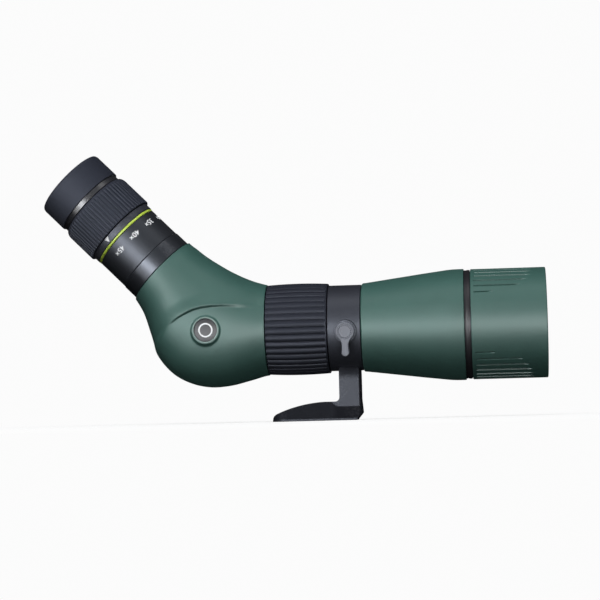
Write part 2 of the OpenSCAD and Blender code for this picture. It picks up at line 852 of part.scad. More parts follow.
module eyecup_rubber() {
    rim = 1.4;
    top = [for (a = [0:30:90]) [cup_r - rim + rim * cos(a), cup_top_s - rim + rim * sin(a)]];
    lip = [for (a = [90:30:180]) [24.2 + 0.9 * cos(a), cup_top_s - 0.9 + 0.9 * sin(a)]];
    color(rubber) on_eyepiece() lathe(concat(
        [[cup_sleeve_r + seat, cup_s], [cup_r - 0.3, cup_s], [cup_r, cup_s + 0.4]],
        top, lip,
        [[20.4, 150.6], [20.4, 149.6], [cup_sleeve_r + seat, 149.6]]
    ));
}

collar_ring();
foot();
foot_screws();
tripod_bush();
lock_lever();
lock_screw();
lock_cap();
brake_shoe();
main_tube();
tube_seals();
front_barrel();
light_baffle();
bumper_ring();
objective_cell();
hood_felt();
flint_lens();
lens_spacer();
crown_lens();
lens_ring();
prism_housing();
roof_prism();
prism_bracket();
prism_clip();
bracket_screws();
badge_bezel();
badge_disc();
eyepiece_mount();
eyepiece_seal();
dial_barrel();
eyepiece_tube();
field_stop();
field_lens();
eyepiece_head();
inner_eye_lens();
eye_lens();
eye_lens_ring();
focus_sleeve();
focus_grip();
focus_cell();
focus_lens();
focus_pin();
hood();
zoom_sleeve();
zoom_grip();
accent_ring();
variator_cell();
variator_lens();
variator_pin();
compensator_cell();
compensator_lens();
compensator_pin();
eyecup_key_ring();
eyecup_sleeve();
eyecup_pins();
eyecup_rubber();
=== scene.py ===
"""Looks of the angled spotting scope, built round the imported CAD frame. Lengths below are in millimetres."""

import math

import bmesh
import bpy
import numpy as np
from mathutils import Matrix, Vector


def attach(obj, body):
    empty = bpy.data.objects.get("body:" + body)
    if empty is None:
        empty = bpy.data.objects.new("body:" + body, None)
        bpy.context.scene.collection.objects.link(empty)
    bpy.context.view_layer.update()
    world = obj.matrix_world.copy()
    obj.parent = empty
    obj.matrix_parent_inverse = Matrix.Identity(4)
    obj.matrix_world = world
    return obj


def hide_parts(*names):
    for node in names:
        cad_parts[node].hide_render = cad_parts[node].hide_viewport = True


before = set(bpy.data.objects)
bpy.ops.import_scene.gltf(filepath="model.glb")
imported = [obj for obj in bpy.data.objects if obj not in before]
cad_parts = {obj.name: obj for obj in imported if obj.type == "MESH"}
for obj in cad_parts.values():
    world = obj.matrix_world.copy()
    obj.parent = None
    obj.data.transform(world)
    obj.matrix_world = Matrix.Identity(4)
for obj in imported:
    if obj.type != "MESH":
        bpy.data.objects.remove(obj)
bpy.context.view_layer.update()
MM = 0.001

# ---------------------------------------------------------------- frames of the working axes

AXIS_H = 64.4
BEND_X = -68.4
HALF = math.sqrt(0.5)


class Axis:
    """A working axis: a point at distance s along it and (r, angle) round it."""

    def __init__(self, origin, along, zero):
        self.o = Vector(origin)
        self.d = Vector(along).normalized()
        self.u = Vector(zero).normalized()
        self.v = self.d.cross(self.u)

    def at(self, r, angle, s):
        return self.o + self.d * s + (self.u * math.cos(angle) + self.v * math.sin(angle)) * r

    def grid(self, r, angle, s):
        """The same for numpy arrays; gives an array of points."""
        o, d, u, v = (np.array(w) for w in (self.o, self.d, self.u, self.v))
        r, angle, s = np.broadcast_arrays(r, angle, s)
        return (o + s[..., None] * d + (r * np.cos(angle))[..., None] * u
                + (r * np.sin(angle))[..., None] * v)


TUBE = Axis((0, 0, AXIS_H), (1, 0, 0), (0, 0, 1))
EYE = Axis((BEND_X, 0, AXIS_H), (-HALF, 0, HALF), (0, -1, 0))
LOCK_TILT = math.radians(6)
LOCK = Axis((18, 0, AXIS_H), (0, -math.cos(LOCK_TILT), -math.sin(LOCK_TILT)), (1, 0, 0))
BADGE = Axis((-78, 0, AXIS_H), (0, -1, 0), (1, 0, 0))

# ---------------------------------------------------------------- materials


def new_material(name):
    """A material with its node tree and its main shader."""
    m = bpy.data.materials.new(name)
    m.use_nodes = True
    return m, m.node_tree, m.node_tree.nodes["Principled BSDF"]


def node(tree, kind, **settings):
    """A shader node. in_Name sets an input, any other name a property."""
    n = tree.nodes.new(kind)
    for key, value in settings.items():
        if key.startswith("in_"):
            n.inputs[key[3:].replace("_", " ")].default_value = value
        else:
            setattr(n, key, value)
    return n


def ramp(tree, source, stops, color=False):
    """A colour ramp on a value. stops is a list of (position, grey or colour)."""
    n = tree.nodes.new("ShaderNodeValToRGB")
    e = n.color_ramp.elements
    while len(e) < len(stops):
        e.new(0.5)
    for el, (pos, val) in zip(e, stops):
        el.position = pos
        el.color = (*val, 1) if color else (val, val, val, 1)
    tree.links.new(source, n.inputs["Fac"])
    return n.outputs["Color"]


def surface(name, color, rough, metallic=0.0, grain=2.0, grain_bump=0.15, blotch=0.1, tint=0.08,
            wear=None, specular=0.5, coat=0.0, sheen=0.0, rough_var=0.08, gleam=(1, 1, 1)):
    """A procedural finish. grain is the size of the surface texture in mm, blotch how uneven the gloss is
    over 10-30 mm, tint how far the colour drifts, wear a (colour, amount) for rubbed edges, and gleam the
    tint of its reflections."""
    m, t, bsdf = new_material(name)
    link = t.links.new
    mapped = node(t, "ShaderNodeMapping")
    mapped.inputs["Scale"].default_value = [1 / MM] * 3
    link(node(t, "ShaderNodeTexCoord").outputs["Object"], mapped.inputs["Vector"])

    def noise(size, detail, roughness):
        n = node(t, "ShaderNodeTexNoise", in_Scale=1.0 / size, in_Detail=detail, in_Roughness=roughness)
        link(mapped.outputs["Vector"], n.inputs["Vector"])
        return n.outputs["Fac"]

    broad = noise(14.0, 3.0, 0.55)
    fine = noise(grain, 4.0, 0.6)

    # roughness: broad handling marks and a fine grain
    marks = node(t, "ShaderNodeMath", operation="MULTIPLY_ADD")
    link(broad, marks.inputs[0])
    marks.inputs[1].default_value = blotch
    marks.inputs[2].default_value = rough - blotch / 2
    gloss = node(t, "ShaderNodeMath", operation="MULTIPLY_ADD", use_clamp=True)
    link(fine, gloss.inputs[0])
    gloss.inputs[1].default_value = rough_var
    link(marks.outputs[0], gloss.inputs[2])
    link(gloss.outputs[0], bsdf.inputs["Roughness"])

    # colour: slight drift between a darker and a lighter tone, and rubbed edges
    dark = [c * (1 - tint) for c in color]
    light = [min(1, c * (1 + tint)) for c in color]
    tone = ramp(t, broad, [(0.3, dark), (0.7, light)], color=True)
    if wear:
        wear_color, amount = wear
        pointed = node(t, "ShaderNodeNewGeometry").outputs["Pointiness"]
        edge = ramp(t, pointed, [(0.53, 0.0), (0.60, 1.0)])
        rub = ramp(t, noise(1.6, 4.0, 0.7), [(0.45, 0.0), (0.62, amount)])
        rubbed = node(t, "ShaderNodeMath", operation="MULTIPLY")
        link(edge, rubbed.inputs[0])
        link(rub, rubbed.inputs[1])
        mix = node(t, "ShaderNodeMix", data_type="RGBA")
        link(rubbed.outputs[0], mix.inputs[0])
        link(tone, mix.inputs[6])
        mix.inputs[7].default_value = (*wear_color, 1)
        tone = mix.outputs[2]
    link(tone, bsdf.inputs["Base Color"])

    bump = node(t, "ShaderNodeBump", in_Strength=grain_bump, in_Distance=0.0001)
    link(fine, bump.inputs["Height"])
    link(bump.outputs["Normal"], bsdf.inputs["Normal"])
    bsdf.inputs["Metallic"].default_value = metallic
    bsdf.inputs["Specular IOR Level"].default_value = specular
    bsdf.inputs["Specular Tint"].default_value = (*gleam, 1)
    bsdf.inputs["Coat Weight"].default_value = coat
    bsdf.inputs["Coat Roughness"].default_value = 0.2
    bsdf.inputs["Sheen Weight"].default_value = sheen
    bsdf.inputs["Sheen Roughness"].default_value = 0.5
    return m


def glass(name, color, coating):
    """Coated glass with a little dust on it."""
    m, t, bsdf = new_material(name)
    bsdf.inputs["Base Color"].default_value = (*color, 1)
    bsdf.inputs["Transmission Weight"].default_value = 1.0
    bsdf.inputs["IOR"].default_value = 1.5
    bsdf.inputs["Coat Weight"].default_value = 0.6
    bsdf.inputs["Coat Tint"].default_value = (*coating, 1)
    bsdf.inputs["Specular Tint"].default_value = (*coating, 1)
    coords = node(t, "ShaderNodeTexCoord").outputs["Object"]
    n = node(t, "ShaderNodeTexNoise", in_Scale=90.0, in_Detail=3.0)
    t.links.new(coords, n.inputs["Vector"])
    dust = ramp(t, n.outputs["Fac"], [(0.5, 0.0), (0.75, 0.03)])
    t.links.new(dust, bsdf.inputs["Roughness"])
    return m


COOL = (0.84, 0.89, 1.0)
GREEN = surface("green_paint", (0.037, 0.104, 0.087), 0.42, grain=0.9, grain_bump=0.16, blotch=0.04,
                tint=0.04, wear=((0.12, 0.19, 0.17), 0.3))
BLACK = surface("black_anodised", (0.016, 0.0175, 0.021), 0.36, grain=0.4, grain_bump=0.06, blotch=0.03,
                rough_var=0.04, tint=0.05, specular=0.6, gleam=COOL, wear=((0.10, 0.10, 0.11), 0.3))
BLACK_SATIN = surface("black_satin", (0.014, 0.0155, 0.019), 0.27, grain=0.4, grain_bump=0.04, blotch=0.02,
                      rough_var=0.03, tint=0.04, specular=0.75, gleam=COOL, wear=((0.10, 0.10, 0.11), 0.3))
COLLAR_BLACK = surface("collar_black", (0.021, 0.0225, 0.030), 0.4, grain=0.5, grain_bump=0.12, blotch=0.04,
                       tint=0.05, specular=0.5, gleam=COOL, wear=((0.11, 0.11, 0.12), 0.3))
# The foot's black is the collar's black anodising made darker and less glossy: painted shade for the foot's
# downward faces, over its real black finish.
FOOT_SHADED_BLACK = surface("foot_painted_shade_black", (0.017, 0.018, 0.023), 0.28, grain=0.5, grain_bump=0.1, blotch=0.04,
                     tint=0.05, specular=0.17, gleam=COOL, wear=((0.11, 0.11, 0.12), 0.3))
BLACK_MATT = surface("black_flocked", (0.006, 0.006, 0.007), 0.75, grain=0.8, grain_bump=0.4, specular=0.2)
RUBBER = surface("grip_rubber", (0.017, 0.0195, 0.030), 0.62, grain=0.45, grain_bump=0.45, blotch=0.06,
                 tint=0.06, specular=0.35, gleam=COOL)
FOCUS_RUBBER = surface("focus_rubber", (0.012, 0.0135, 0.021), 0.5, grain=0.45, grain_bump=0.3, blotch=0.05,
                       tint=0.06, specular=0.27, gleam=COOL)
RUBBER_SMOOTH = surface("smooth_rubber", (0.014, 0.013, 0.016), 0.36, grain=0.6, grain_bump=0.25,
                        blotch=0.05, specular=0.4)
GREY = surface("lever_paint", (0.125, 0.135, 0.165), 0.5, grain=0.35, grain_bump=0.5, blotch=0.04,
               tint=0.04, wear=((0.3, 0.3, 0.32), 0.4))
STEEL = surface("turned_steel", (0.5, 0.5, 0.52), 0.3, metallic=1.0, grain=0.25, grain_bump=0.1,
                blotch=0.05)
CUP_METAL = surface("cup_metal", (0.020, 0.020, 0.024), 0.26, grain=0.3, grain_bump=0.04, blotch=0.02,
                    rough_var=0.03, tint=0.04, specular=0.9)
LIME = surface("lime_ring", (0.55, 0.72, 0.08), 0.30, grain=0.6, grain_bump=0.05, blotch=0.04, coat=0.5,
               tint=0.03)
DIAL_WHITE = surface("dial_paint", (0.90, 0.91, 0.92), 0.5, grain=0.3, grain_bump=0.1, blotch=0.05,
                     tint=0.03)
# The badge bead's green is much lighter than the housing's green paint, which is the same finish: a painted
# highlight.
BADGE_RIM_HIGHLIGHT = surface("badge_rim_painted_highlight", (0.24, 0.34, 0.31), 0.32, grain=0.5, grain_bump=0.06, blotch=0.04,
                    tint=0.05)
BADGE_BLACK = surface("badge_black", (0.010, 0.010, 0.012), 0.33, grain=0.8, grain_bump=0.04, blotch=0.04,
                      specular=0.4)
FELT = surface("felt", (0.01, 0.01, 0.011), 0.95, grain=0.3, grain_bump=1.0, sheen=0.4)
ACETAL = surface("acetal", (0.7, 0.67, 0.58), 0.5, grain=0.5, grain_bump=0.2)
LENS = glass("coated_lens", (0.96, 0.99, 0.97), (0.45, 0.75, 0.6))
EYE_GLASS = glass("eye_lens_glass", (0.95, 0.98, 0.97), (0.55, 0.45, 0.75))

# ---------------------------------------------------------------- mesh tools


def fillet(outline, steps=4):
    """Rounds the corners of a polygon. outline is a list of (a, b) or (a, b, radius) points."""
    pts = [(p[0], p[1], p[2] if len(p) > 2 else 0.0) for p in outline]
    out = []
    n = len(pts)
    for i, (x, y, rad) in enumerate(pts):
        if rad <= 0:
            out.append((x, y))
            continue
        p = np.array((x, y))
        a = np.array(pts[i - 1][:2]) - p
        b = np.array(pts[(i + 1) % n][:2]) - p
        la, lb = np.linalg.norm(a), np.linalg.norm(b)
        a, b = a / la, b / lb
        turn = math.acos(max(-1, min(1, float(a @ b))))
        cut = rad / math.tan(turn / 2)
        if cut > 0.499 * min(la, lb):
            cut = 0.499 * min(la, lb)
            rad = cut * math.tan(turn / 2)
        centre = p + (a + b) / np.linalg.norm(a + b) * (rad / math.sin(turn / 2))
        start, end = p + a * cut - centre, p + b * cut - centre
        t0, t1 = math.atan2(start[1], start[0]), math.atan2(end[1], end[0])
        sweep = (t1 - t0 + math.pi) % (2 * math.pi) - math.pi
        for k in range(steps + 1):
            t = t0 + sweep * k / steps
            out.append((centre[0] + rad * math.cos(t), centre[1] + rad * math.sin(t)))
    return out


def mesh_of(name, verts, faces):
    """A mesh from points in mm."""
    mesh = bpy.data.meshes.new(name)
    mesh.from_pydata([tuple(c * MM for c in v) for v in verts], [], faces)
    return mesh


def weld(mesh):
    """Joins doubled points and turns every face outward."""
    bm = bmesh.new()
    bm.from_mesh(mesh)
    bmesh.ops.remove_doubles(bm, verts=bm.verts, dist=1e-7)
    bmesh.ops.recalc_face_normals(bm, faces=bm.faces)
    bm.to_mesh(mesh)
    bm.free()


def linked(name, data):
    """A new object in the scene."""
    obj = bpy.data.objects.new(name, data)
    bpy.context.scene.collection.objects.link(obj)
    return obj


def wrap_mesh(name, mesh, material, smooth_angle=40, weighted=True):
    """An object from a mesh, shaded smooth up to an angle in degrees."""
    mesh.validate()
    weld(mesh)
    obj = linked(name, mesh)
    mesh.materials.append(material)
    for p in mesh.polygons:
        p.use_smooth = True
    mesh.set_sharp_from_angle(angle=math.radians(smooth_angle))
    if weighted:
        w = obj.modifiers.new("normals", "WEIGHTED_NORMAL")
        w.keep_sharp = True
        w.weight = 60
    return obj


def torus_faces(rows, cols, close_rows=True):
    """Faces of a grid of points that closes on itself along its columns and, if asked, its rows."""
    faces = []
    for i in range(rows if close_rows else rows - 1):
        for c in range(cols):
            a, b, e = i, (i + 1) % rows, (c + 1) % cols
            faces.append((a * cols + c, a * cols + e, b * cols + e, b * cols + c))
    return faces


def turned(axis, outline, sides=160, steps=4, depth=None, thetas=None):
    """Points and faces of a closed outline of (r, s[, corner radius]) turned round an axis, in even sides
    or at the given angles. depth(s, theta, r) sinks the skin."""
    profile = np.array(fillet(outline, steps))
    if thetas is None:
        thetas = np.arange(sides) * 2 * math.pi / sides
    th, r = np.meshgrid(thetas, profile[:, 0])
    _, s = np.meshgrid(thetas, profile[:, 1])
    if depth is not None:
        r = r - depth(s, th, r)
    off_axis = bool(np.all(profile[:, 0] > 1e-6))
    return axis.grid(r, th, s).reshape(-1, 3), torus_faces(len(profile), len(thetas), close_rows=off_axis)


def lathe(name, axis, outline, material, **how):
    return wrap_mesh(name, mesh_of(name, *turned(axis, outline, **how)), material)


def rides(obj, body, slot, *nodes):
    """Fixes a piece to its body and hides the CAD nodes that it stands for. The slot argument is not used."""
    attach(obj, body)
    if nodes:
        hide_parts(*nodes)
    return obj


def smoothstep(lo, hi, x):
    """0 below lo, 1 above hi, and a smooth rise between."""
    t = np.clip((np.asarray(x, float) - lo) / (hi - lo), 0, 1)
    return t * t * (3 - 2 * t)


def comb(thetas_per_pitch, count):
    """Angles for a repeated rib: fractions of one pitch, for every pitch."""
    pitch = 2 * math.pi / count
    return np.array([pitch * (i + f) for i in range(count) for f in thetas_per_pitch])


# ---------------------------------------------------------------- prism housing

# The bend is a fan of sections about a pivot above the tube. FAN_DROP and NECK_REACH are the distances from
# the pivot to the tube's axis and to the eyepiece's axis.
FRONT_X = -37.9
NECK_S = 61.9
FAN_STEP = 5.0
FAN_END = 45.0
FAN = np.array([
    [31.8, 31.8, 31.8, 2.00], [32.1, 37.1, 33.0, 2.06], [32.4, 43.6, 34.2, 2.14],
    [32.6, 48.9, 35.0, 2.20], [32.5, 51.4, 35.2, 2.24], [32.2, 50.9, 34.6, 2.22],
    [31.4, 46.2, 33.2, 2.16], [30.4, 37.0, 31.2, 2.08], [29.2, 30.0, 29.2, 2.02],
    [27.5, 27.5, 27.5, 2.00]])
FAN_DROP = (FRONT_X - BEND_X) + NECK_S * math.sqrt(2)
PIVOT_Z = AXIS_H + FAN_DROP
NECK_REACH = (FRONT_X - BEND_X) * math.sqrt(2) + NECK_S


def fan(deg):
    """The four section values at a fan angle: reach above, reach below, half width, squareness."""
    i = int(min(math.floor(deg / FAN_STEP), len(FAN) - 2))
    t = deg / FAN_STEP - i
    p = [FAN[max(0, min(len(FAN) - 1, i + k))] for k in (-1, 0, 1, 2)]
    return 0.5 * (2 * p[1] + (p[2] - p[0]) * t + (2 * p[0] - 5 * p[1] + 4 * p[2] - p[3]) * t * t
                  + (3 * p[1] - p[0] - 3 * p[2] + p[3]) * t ** 3)


def fan_section(deg):
    """Middle reach, half height, half width and squareness of the section at a fan angle."""
    above, below, half_w, power = fan(deg)
    path = FAN_DROP + (NECK_REACH - FAN_DROP) * deg / FAN_END
    top, bottom = path - above, path + below
    return (top + bottom) / 2, (bottom - top) / 2, half_w, power


def fan_xyz(deg, reach, side):
    """The point at a fan angle and a distance from the pivot, side mm off the middle plane."""
    a = math.radians(deg)
    return np.array((FRONT_X - reach * math.sin(a), side, PIVOT_Z - reach * math.cos(a)))


def bow(value, power):
    """A power that keeps the sign."""
    return math.copysign(abs(value) ** power, value)


# Crease on the side of the housing: (x, z, lip above it, cheek below it, width) from its lower end up and
# over the badge. The skin above rolls out in a lip and drops to the cheek below.
CREASE = np.array([
    (-122.5, 44.0, 0.0, 0.0, 4.0), (-119.0, 51.5, 0.0, 0.6, 3.4), (-114.6, 58.5, 0.0, 1.15, 2.8),
    (-110.0, 63.6, 0.15, 1.2, 2.2), (-105.6, 67.7, 0.7, 1.0, 1.4), (-101.3, 71.0, 1.4, 0.75, 1.0),
    (-96.8, 73.9, 1.9, 0.55, 0.9), (-92.1, 76.4, 2.1, 0.45, 0.9), (-87.0, 78.5, 2.2, 0.4, 0.9),
    (-81.6, 79.9, 2.2, 0.4, 0.9), (-74.5, 80.6, 2.1, 0.4, 0.9), (-67.0, 80.8, 1.8, 0.4, 0.95),
    (-61.4, 80.7, 1.5, 0.35, 1.1), (-57.5, 80.6, 1.3, 0.25, 1.3), (-53.0, 80.4, 1.1, 0.1, 1.6),
    (-48.2, 80.2, 0.6, 0.0, 1.9), (-43.0, 80.1, 0.1, 0.0, 2.4)])
CREASE_FINE = np.array([[np.interp(t, range(len(CREASE)), CREASE[:, c]) for c in range(5)]
                        for t in np.linspace(0, len(CREASE) - 1, 321)])
CREASE_SLOPE = np.gradient(CREASE_FINE[:, :2], axis=0)
CREASE_POLAR = sorted((math.degrees(math.atan2(FRONT_X - x, PIVOT_Z - z)),
                       math.hypot(FRONT_X - x, PIVOT_Z - z)) for x, z in CREASE[4:, :2])


def proud(x, z):
    """How far the skin stands out along the crease, by the signed distance of (x, z) from it."""
    gap = np.array((x, z)) - CREASE_FINE[:, :2]
    i = int(np.argmin(gap[:, 0] ** 2 + gap[:, 1] ** 2))
    tx, tz = CREASE_SLOPE[i]
    below = (gap[i, 0] * tz - gap[i, 1] * tx) / math.hypot(tx, tz)
    dist = math.copysign(math.hypot(*gap[i]), below)
    lip, cheek, w = CREASE_FINE[i, 2:]
    above_part = lip * float(1 - smoothstep(0, 12, -dist)) ** 1.3 if dist < 0 else lip
    below_part = cheek * float(1 - smoothstep(0, 21, dist)) ** 1.3 if dist > 0 else cheek
    mask = float(smoothstep(-w, w, dist))
    return above_part * (1 - mask) + below_part * mask


def side_reach(x, z):
    """How far the housing's side stands off the middle plane at the point (x, z)."""
    deg = math.degrees(math.atan2(FRONT_X - x, PIVOT_Z - z))
    reach = math.hypot(FRONT_X - x, PIVOT_Z - z)
    mid, half, half_w, power = fan_section(deg)
    u = min(1.0, abs((reach - mid) / half))
    return half_w * (1 - u ** power) ** (1 / power) + proud(x, z)


def housing_ring(deg, cols, inset=0.0):
    """One section of the skin, far side first, with columns gathered at the crease on both sides."""
    mid, half, half_w, power = fan_section(deg)
    crease = float(np.interp(deg, *zip(*CREASE_POLAR)))
    gather = math.acos(bow(max(-0.96, min(0.96, (crease - mid) / half)), power / 2))
    split = math.radians(112)
    out = []
    for j in range(cols):
        b = 2 * math.pi * j / cols
        s = 1 if b <= math.pi else -1
        q = min(b, 2 * math.pi - b)
        if q <= split:
            q = gather * (1 - ((split - q) / split) ** 1.5)
        else:
            q = gather + ((q - split) / (math.pi - split)) ** 1.8 * (math.pi - gather)
        reach = mid + (half - inset) * bow(math.cos(q), 2 / power)
        side = (half_w - inset) * bow(math.sin(q), 2 / power)
        x, _, z = fan_xyz(deg, reach, 0)
        nudge = proud(x, z) if inset == 0.0 else 0.0
        if nudge:
            n_r = abs((reach - mid) / half) ** (power - 1) * (1 if reach > mid else -1) / half
            n_s = (abs(side) / half_w) ** (power - 1) / half_w
            ln = math.hypot(n_r, n_s) or 1
            reach += nudge * n_r / ln
            side += nudge * n_s / ln
        out.append((reach, s * side))
    return out


def bore_loop(axis, r, s, cols):
    """A circle across an axis, matched column by column to the order of the fan's sections."""
    away = Vector((0, 0, -1)) if axis is TUBE else Vector((-HALF, 0, -HALF))
    side = Vector((0, 1, 0))
    turns = [2 * math.pi * j / cols for j in range(cols)]
    return [np.array(axis.o + axis.d * s + away * (math.cos(b) * r) + side * (math.sin(b) * r))
            for b in turns]


def build_housing():
    """The cast bend as a shell: skin, mouth for the eyepiece, inner wall and mouth for the tube."""
    rings, cols = 132, 300

    def section(deg, inset=0.0):
        return [fan_xyz(deg, r, s) for r, s in housing_ring(deg, cols, inset)]

    shell = [section(FAN_END * i / rings) for i in range(rings + 1)]
    shell[0] = [p + np.array((-0.25, 0, 0)) for p in shell[0]]
    shell[-1] = [p + np.array(EYE.d) * -0.25 for p in shell[-1]]
    for r, s in ((27.25, NECK_S), (23.1, NECK_S), (23.0, NECK_S - 0.2), (23.0, NECK_S - 6)):
        shell.append(bore_loop(EYE, r, s, cols))
    shell += [section(41.5 - 38.0 * i / 24, 3.0) for i in range(25)]
    for r, s in ((25.7, FRONT_X - 6), (25.7, FRONT_X - 0.2), (25.9, FRONT_X), (31.55, FRONT_X)):
        shell.append(bore_loop(TUBE, r, s, cols))
    mesh = mesh_of("housing", [p for row in shell for p in row], torus_faces(len(shell), cols))
    bm = bmesh.new()
    bm.from_mesh(mesh)
    bm.verts.ensure_lookup_table()
    badge_boss(bm, (rings + 1) * cols)
    bm.to_mesh(mesh)
    bm.free()
    return wrap_mesh("housing_shell", mesh, GREEN, smooth_angle=35, weighted=False)


BADGE_SEAT, BADGE_LAND, BADGE_LAND_R = 34.4, 36.1, 9.4
BOSS_REACH, BOSS_SLOPE, BOSS_BLEND = 14.6, 1.19, 1.2


def badge_boss(bm, outer_count):
    """Raises the round boss for the badge out of the housing's near side, with a pocket in its top."""
    cx, cz, n = BADGE.o.x, BADGE.o.z, 96

    def off_centre(co):
        return math.hypot(co.x / MM - cx, co.z / MM - cz)

    doomed = [f for f in bm.faces if all(v.index < outer_count and v.co.y < 0 for v in f.verts)
              and any(off_centre(v.co) < BOSS_REACH for v in f.verts)]
    bmesh.ops.delete(bm, geom=doomed, context="FACES")
    rim = [e for e in bm.edges if e.is_boundary]

    def loop(r, level=None):
        ring = []
        for k in range(n):
            a = 2 * math.pi * k / n
            x, z = cx + r * math.cos(a), cz + r * math.sin(a)
            y = level
            if level is None:
                skin, cone = side_reach(x, z), BADGE_LAND - (r - BADGE_LAND_R) * BOSS_SLOPE
                blend = min(1.0, max(0.0, 0.5 + (cone - skin) / BOSS_BLEND))
                y = skin + (cone - skin) * blend + BOSS_BLEND / 2 * blend * (1 - blend)
            ring.append(bm.verts.new((x * MM, -y * MM, z * MM)))
        return ring

    rings = [loop(r) for r in (14.0, 13.2, 12.6, 12.1, 11.7, 11.35, 11.0, 10.7, 10.4, 10.1, 9.8, 9.6)]
    rings += [loop(r, y) for r, y in (
        (9.47, BADGE_LAND - 0.04), (9.35, BADGE_LAND), (9.1, BADGE_LAND), (9.03, BADGE_LAND - 0.1),
        (9.02, BADGE_SEAT), (5.0, BADGE_SEAT))]
    for a, b in zip(rings, rings[1:]):
        for k in range(n):
            bm.faces.new((a[k], a[(k + 1) % n], b[(k + 1) % n], b[k]))
    bm.faces.new(rings[-1])
    first = [bm.edges.get((rings[0][k], rings[0][(k + 1) % n])) for k in range(n)]
    bmesh.ops.bridge_loops(bm, edges=rim + first)


housing = build_housing()
rides(housing, "scope", "green_paint", "prism_housing")

# badge: a bead in a much lighter green than the housing's paint (a painted highlight on the same green paint)
# round a plain disc with one inlaid ring
bezel = lathe("badge_bezel_ring", BADGE, [
    (8.12, 34.42), (9.0, 34.42), (9.0, 35.95), (8.93, 36.15), (8.75, 36.28), (8.55, 36.3), (8.35, 36.24),
    (8.2, 36.1), (8.12, 35.9)], BADGE_RIM_HIGHLIGHT, sides=128)
rides(bezel, "scope", "green_paint", "badge_bezel")


DISC_R, INLAY_OUT, INLAY_IN = 8.1, 5.0, 3.9


def dome(r):
    """The disc is slightly domed."""
    return 35.66 - 0.55 * (r / DISC_R) ** 2


disc = lathe("badge_disc_face", BADGE, [(0, 34.42), (DISC_R, 34.42), (DISC_R, dome(DISC_R), 0.12)]
             + [(r, dome(r)) for r in (7.0, 6.0, INLAY_OUT + 0.05)]
             + [(INLAY_OUT, dome(INLAY_OUT) - 0.06), (INLAY_IN, dome(INLAY_IN) - 0.06)]
             + [(r, dome(r)) for r in (INLAY_IN - 0.05, 3.0, 1.5, 0)], BADGE_BLACK, sides=128)
rides(disc, "scope", "badge_black", "badge_disc")
inlay = lathe("badge_inlay", BADGE, [
    (INLAY_IN + 0.02, dome(INLAY_IN) - 0.08), (INLAY_OUT - 0.02, dome(INLAY_OUT) - 0.08),
    (INLAY_OUT - 0.02, dome(INLAY_OUT)), (INLAY_IN + 0.02, dome(INLAY_IN))], DIAL_WHITE, sides=128)
rides(inlay, "scope", "dial_paint")

# ---------------------------------------------------------------- front barrel, bumper and hood

barrel = lathe("front_barrel_skin", TUBE, [
    (25.62, 28.6), (30.9, 28.6, 1.3), (31.1, 31.5), (36.3, 71.5), (38.0, 85.5), (38.3, 88.0),
    (38.52, 90.5), (38.66, 93.0), (38.7, 96.0), (38.7, 99.8, 0.45), (36.92, 99.8, 0.2), (36.92, 88),
    (36.2, 88), (29.8, 44), (25.62, 44)], GREEN, sides=192)
rides(barrel, "scope", "green_paint", "front_barrel")
bumper = lathe("bumper_ring_skin", TUBE, [
    (36.92, 99.86), (37.9, 99.86, 0.5), (37.55, 101.0, 0.4), (37.9, 102.2, 0.4), (37.9, 104.05, 0.45),
    (36.92, 104.05)], RUBBER_SMOOTH, sides=192)
rides(bumper, "scope", "rubber", "bumper_ring")

GRIP_STEP = math.radians(8.2)
GRIP_ENDS = [147.2, 147.2, 147, 146.6, 145.6, 143.4, 138.8, 120]
GRIP_FROM = 106.8
HOOD_R = 38.4


def hood_depth(s, th, r):
    """Moulded grip grooves, in a fan on the top and on the bottom of the hood."""
    out = np.zeros_like(s)
    for side in (0, math.pi):
        for k in range(-7, 8):
            c = side + k * GRIP_STEP
            d = np.abs((th - c + math.pi) % (2 * math.pi) - math.pi) * HOOD_R
            end = GRIP_ENDS[abs(k)]
            along = np.maximum(np.maximum(GRIP_FROM + 0.7 - s, s - end + 0.7), 0)
            dist = np.sqrt(d * d + along * along)
            taper = 0.25 + 0.75 * smoothstep(0.0, 5.0, end - s)
            out = np.maximum(out, 0.85 * taper * (1 - smoothstep(0.5, 0.82, dist)))
    return np.where(r > HOOD_R - 0.05, out, 0)


def hood_thetas():
    """Angles for the hood's mesh, gathered at the walls of each groove."""
    wall = (0.5, 0.58, 0.66, 0.74, 0.82, 0.9)
    marks = []
    for side in (0, math.pi):
        for k in range(-7, 8):
            c = side + k * GRIP_STEP
            marks += [c + m / HOOD_R for m in (*(-w for w in wall), 0, *wall)]
            if k < 7:
                marks += [c + GRIP_STEP / 2 + m / HOOD_R for m in (-1.0, 0, 1.0)]
    span = 7 * GRIP_STEP + 1.5 / HOOD_R
    for side in (0, math.pi):
        a, b = side + span + 0.02, side + math.pi - span - 0.02
        marks += list(np.linspace(a, b, 22))
    return np.array(sorted(m % (2 * math.pi) for m in marks))


def hood_profile():
    """The hood's outline, with stations gathered at the ends of the grooves."""
    ends = sorted(set(GRIP_ENDS))
    stations = set(np.arange(105.4, 155.2, 0.9).round(3))
    for e in ends + [GRIP_FROM]:
        for m in (-1.6, -1.15, -0.8, -0.45, -0.1, 0.25):
            stations.add(round(e + (m if e != GRIP_FROM else -m), 3))
    pts = [(37.0, 104.4), (38.1, 104.4, 0.25), (HOOD_R, 104.95, 0.3)]
    pts += [(HOOD_R, s) for s in sorted(stations) if 105.3 < s < 155.1]
    pts += [(HOOD_R, 156.3, 0.65), (36.6, 156.3, 0.5), (36.2, 155.6, 0.3), (36.2, 149), (37.0, 148.2)]
    return pts


hood = lathe("hood_skin", TUBE, hood_profile(), GREEN, thetas=hood_thetas(), depth=hood_depth)
rides(hood, "hood", "green_paint", "hood")

# ---------------------------------------------------------------- focus ring

FOCUS_FROM, FOCUS_TO = -37.5, 5.1
FOCUS_R = 32.1
FOCUS_RIBS = 40


